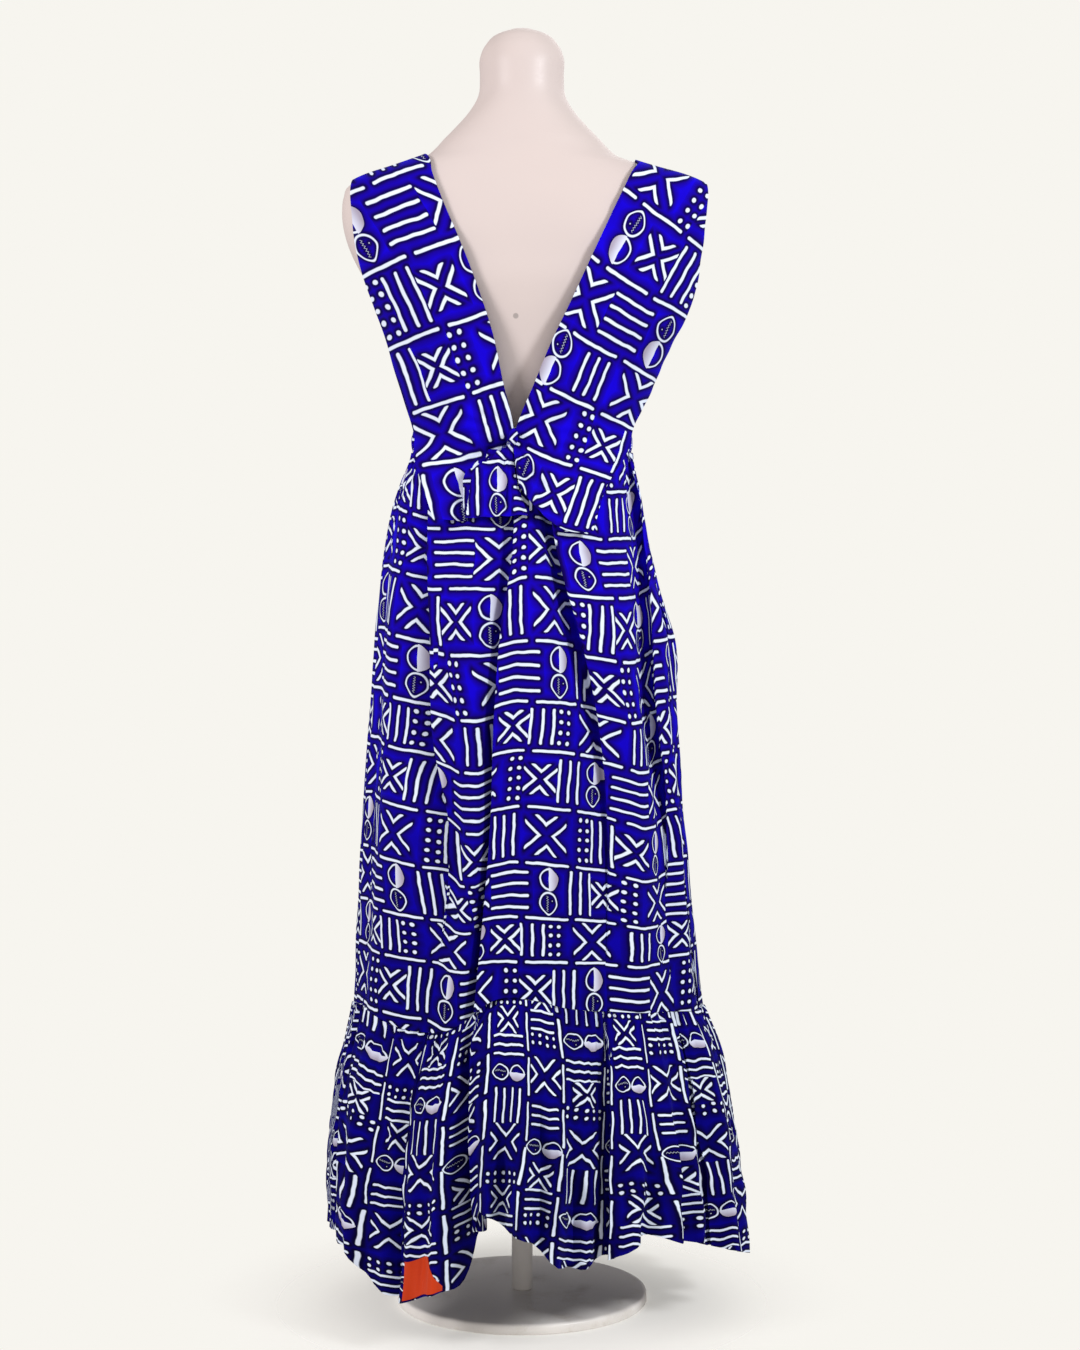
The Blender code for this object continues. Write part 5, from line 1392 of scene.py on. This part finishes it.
frontShape = {
    "turns": {"columns": ("down", "turn"),
              "rows": ((0, 90), (0.013, 80), (0.037, 74), (0.075, 70), (0.18, 66), (0.33, 64), (0.50, 66),
                       (0.67, 73), (0.84, 86), (1, 90))},
    "neckShare": 0.46,
    "rows": 120,
    "neckRows": 60,  # down to here each half ends at the neckline, below it in the middle of the front
    "columns": 44,
    "gathers": {"height": 0.0016, "pitch": 0.016, "uneven": (2, 60), "from": 0.80},
    "print": {"scale": 1.1, "top": 1.40},
}
joinedFrom = frontShape["neckRows"] - 1


# each half runs from the neckline (a quarter ellipse) and the middle of the front out to the armhole
def frontHalf(side):
    sign = -1 if side == "left" else 1
    share = frontShape["neckShare"]
    rows = np.append(share * np.linspace(0, 1, joinedFrom + 1) ** 2.2,
                     np.linspace(share, 1, frontShape["rows"] - joinedFrom)[1:])
    across = np.linspace(0, 1, frontShape["columns"]) + 0 * rows[:, None]
    down = rows[:, None] + 0 * across
    top = shoulderLine(side, sign, -1)
    neckX, neckTop = top(np.array(0.0))
    neckBottom = shoulderShape["inner"]["left"] - shoulderShape["frontNeckDepth"]
    waist = clothShape["waistTop"] + clothShape["seamGap"]

    def inner(place):
        sweep = math.pi / 2 * np.clip(place / share, 0, 1)
        below = np.clip((place - share) / (1 - share), 0, 1)
        height = neckTop + (neckBottom - neckTop) * np.sin(sweep) + (waist - neckBottom) * below
        return np.stack([np.where(below > 0, 0, neckX * np.cos(sweep)), height], -1)

    def outer(place):
        tip = shoulderShape["outer"][side]
        height = tip + (waist - tip) * place
        turn = sign * lookUp(frontShape["turns"], "turn", place)
        return np.stack([onDrape(turn, height, -1)[..., 0], height], -1)

    def bottom(place):
        turn = 90.0 * sign * place
        return np.stack([onDrape(turn, waist + 0 * place, -1)[..., 0], waist + 0 * place], -1)

    grid = panelSurface(across, down, (inner, outer, top, bottom), -1)
    grid[joinedFrom:, 0, 0] = 0
    outwards = gridNormals(grid)
    outwards *= np.sign(outwards[frontShape["rows"] // 2, frontShape["columns"] // 2, 1])
    outwards[joinedFrom:, 0, 0] = 0
    outwards[0, :, 1] = 0
    outwards[-1, :, 2] = 0
    outwards /= np.linalg.norm(outwards, axis=-1, keepdims=True)
    grid[0, :, 1] = clothShape["seamGap"] / 2
    # shallow gathers above the waist
    gathers, x = frontShape["gathers"], grid[..., 0]
    amount, often = gathers["uneven"]
    ripple = gathers["height"] * np.sin(x * tau / gathers["pitch"] + amount * np.sin(x * often))
    grid[1:] += (outwards * (ripple * rise(down, gathers["from"], 1.0))[..., None])[1:]
    return grid, outwards


# one sheet: the two halves joined where both reach the middle of the front, the same sheet a thickness inside,
# and a rim along every edge that has a face on one side only
def makeFront():
    (left, leftOut), (right, rightOut) = frontHalf("left"), frontHalf("right")
    grid = np.concatenate([left[:, ::-1], right], axis=1)
    outwards = np.concatenate([leftOut[:, ::-1], rightOut], axis=1)
    uv = (np.stack([grid[..., 0], frontShape["print"]["top"] - grid[..., 2]], -1)
          / frontShape["print"]["scale"])
    rows, across = grid.shape[:2]
    count, columns = rows * across, across // 2
    face = gridFaces(rows, across)
    merged = np.arange(count).reshape(rows, across)
    merged[joinedFrom:, columns] = merged[joinedFrom:, columns - 1]
    keep = merged.reshape(-1)[face[face[:, 0] % across != columns - 1]]
    edges = np.concatenate([np.stack([keep[:, i], keep[:, (i + 1) % 4]], -1) for i in range(4)])
    rim = edges[~np.isin(edges[:, 0] * count + edges[:, 1], edges[:, 1] * count + edges[:, 0])]
    rim = np.stack([rim[:, 1], rim[:, 0], rim[:, 0] + count, rim[:, 1] + count], -1)
    faces = np.concatenate([keep, keep[:, ::-1] + count, rim])
    points = np.concatenate([grid.reshape(-1, 3), (grid - outwards * clothShape["thickness"]).reshape(-1, 3)])
    used, faces = np.unique(faces, return_inverse=True)
    faces = faces.reshape(-1, 4)
    flat = np.tile(uv.reshape(-1, 2), (2, 1))[used]
    return meshObject("front_panel", points[used], faces, waxPrint, flat[faces])


print("front")
frontPanel = makeFront()


# The knot: the panels' inner edges wrapped over each other, as a small pad with a twist of ridges

knotShape = {"centre": (-0.0090, -0.1180, 1.030), "size": (0.0055, 0.0062, 0.0098), "ridges": 5,
             "height": 0.07, "twist": 2.4, "waist": 0.16, "waistHeight": 0.25, "rows": 48, "columns": 72,
             "print": {"at": (0.118, 0.215), "scale": 1.3}}


# an ellipsoid whose radius is waved round a twisted axis, narrowest at its middle
def makeKnot():
    rows, columns = knotShape["rows"], knotShape["columns"]
    polar = np.linspace(0.02, math.pi - 0.02, rows)[:, None]
    around = np.linspace(0, tau, columns, endpoint=False)[None, :]
    upright = np.cos(polar)
    ridge = 1 + knotShape["height"] * np.sin(around * knotShape["ridges"] + knotShape["twist"] * upright * 2)
    waist = 1 - knotShape["waist"] * np.exp(-((upright / knotShape["waistHeight"]) ** 2))
    unit = np.stack([np.sin(polar) * np.sin(around) * ridge * waist,
                     -np.sin(polar) * np.cos(around) * ridge * waist, upright + 0 * around], -1)
    grid = (knotShape["centre"] + unit * knotShape["size"]).reshape(-1, 3)
    (startU, startV), scale = knotShape["print"]["at"], knotShape["print"]["scale"]
    uv = np.stack([startU + grid[:, 0] * scale, startV - (grid[:, 2] - knotShape["centre"][2]) * scale], -1)
    faces = closedRings(rows, columns)
    return meshObject("knot_wrap", grid, faces, waxPrint, uv[faces])


print("knot")
knotWrap = makeKnot()


# The plain patch on the hem

patchShape = {"places": (14.27, 14.76), "top": ((0, 0.846), (0.68, 0.850), (1, 0.975)), "bottom": 0.992,
              "room": 0.0007, "thickness": 0.0008, "rows": 16, "columns": 20, "size": (0.04, 0.03)}


# the ruffle's own surface, a little outside it, between two places and two shares of the way down
def makePatch():
    place, through = panelColumns(sideSeams["left"], sideSeams["right"], ruffleGrid["foldColumns"],
                                  ruffleGrid["tuckColumns"])
    u = np.linspace(0, 1, patchShape["columns"])
    v = np.linspace(0, 1, patchShape["rows"])[:, None]
    number = np.arange(len(place))
    left, right = patchShape["places"]
    at = np.interp(left + (right - left) * u, place + 1e-9 * number, number) + 0 * v
    top = np.interp(u, *np.transpose(patchShape["top"]))
    down = (top + (patchShape["bottom"] - top) * v) * (ruffleGrid["rows"] - 1)
    i, j = np.floor(down).astype(int), np.floor(at).astype(int)
    s, t = (down - i)[..., None], (at - j)[..., None]

    def read(grid):
        return (grid[i, j] * (1 - s) * (1 - t) + grid[i + 1, j] * s * (1 - t)
                + grid[i, j + 1] * (1 - s) * t + grid[i + 1, j + 1] * s * t)

    out = read(outwardNormals(ruffleBackGrid))
    grid = read(ruffleBackGrid) + out * (patchShape["room"] + patchShape["thickness"])
    uv = np.stack([u + 0 * v, v + 0 * u], -1) * patchShape["size"]
    return clothShell("hem_patch_cloth", grid, -out, uv, orangeSatin, patchShape["thickness"])


print("hem patch")
hemPatch = makePatch()


# Each piece of cloth with its solid, and the size that it was cut to

sheets = (
    (skirtBack, "skirt_back", (0.78, 0.66), "gathered", ["waistband"]),
    (skirtFront, "skirt_front", (0.70, 0.66), "gathered", ["waistband"]),
    (ruffleBack, "ruffle_back", (1.00, 0.30), "gathered", ["skirt_back"]),
    (ruffleFront, "ruffle_front", (0.90, 0.30), "gathered", ["skirt_front"]),
    (waistband, "waistband", (0.80, 0.026), "gathered", ["form_torso"]),
    (panelLeft, "bodice_back_left", (0.12, 0.47), "draped", ["form_torso"]),
    (panelRight, "bodice_back_right", (0.14, 0.47), "draped", ["form_torso"]),
    (frontPanel, "bodice_front", (0.42, 0.36), "draped", ["form_torso"]),
    (knotWrap, "tie_knot", (0.023, 0.016), "folded", ["bodice_back_left"]),
    (hemPatch, "hem_patch", (0.050, 0.047), "laid", ["ruffle_back"]),
)
for piece, node, flat, held, rests in sheets:
    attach(piece, "root")
    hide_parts(node)
    layers = sum(polygon.area for polygon in piece.data.polygons)
    print("sheet", node, "area", round(layers / 2, 4), "triangles", 2 * len(piece.data.polygons))
    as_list(rests)
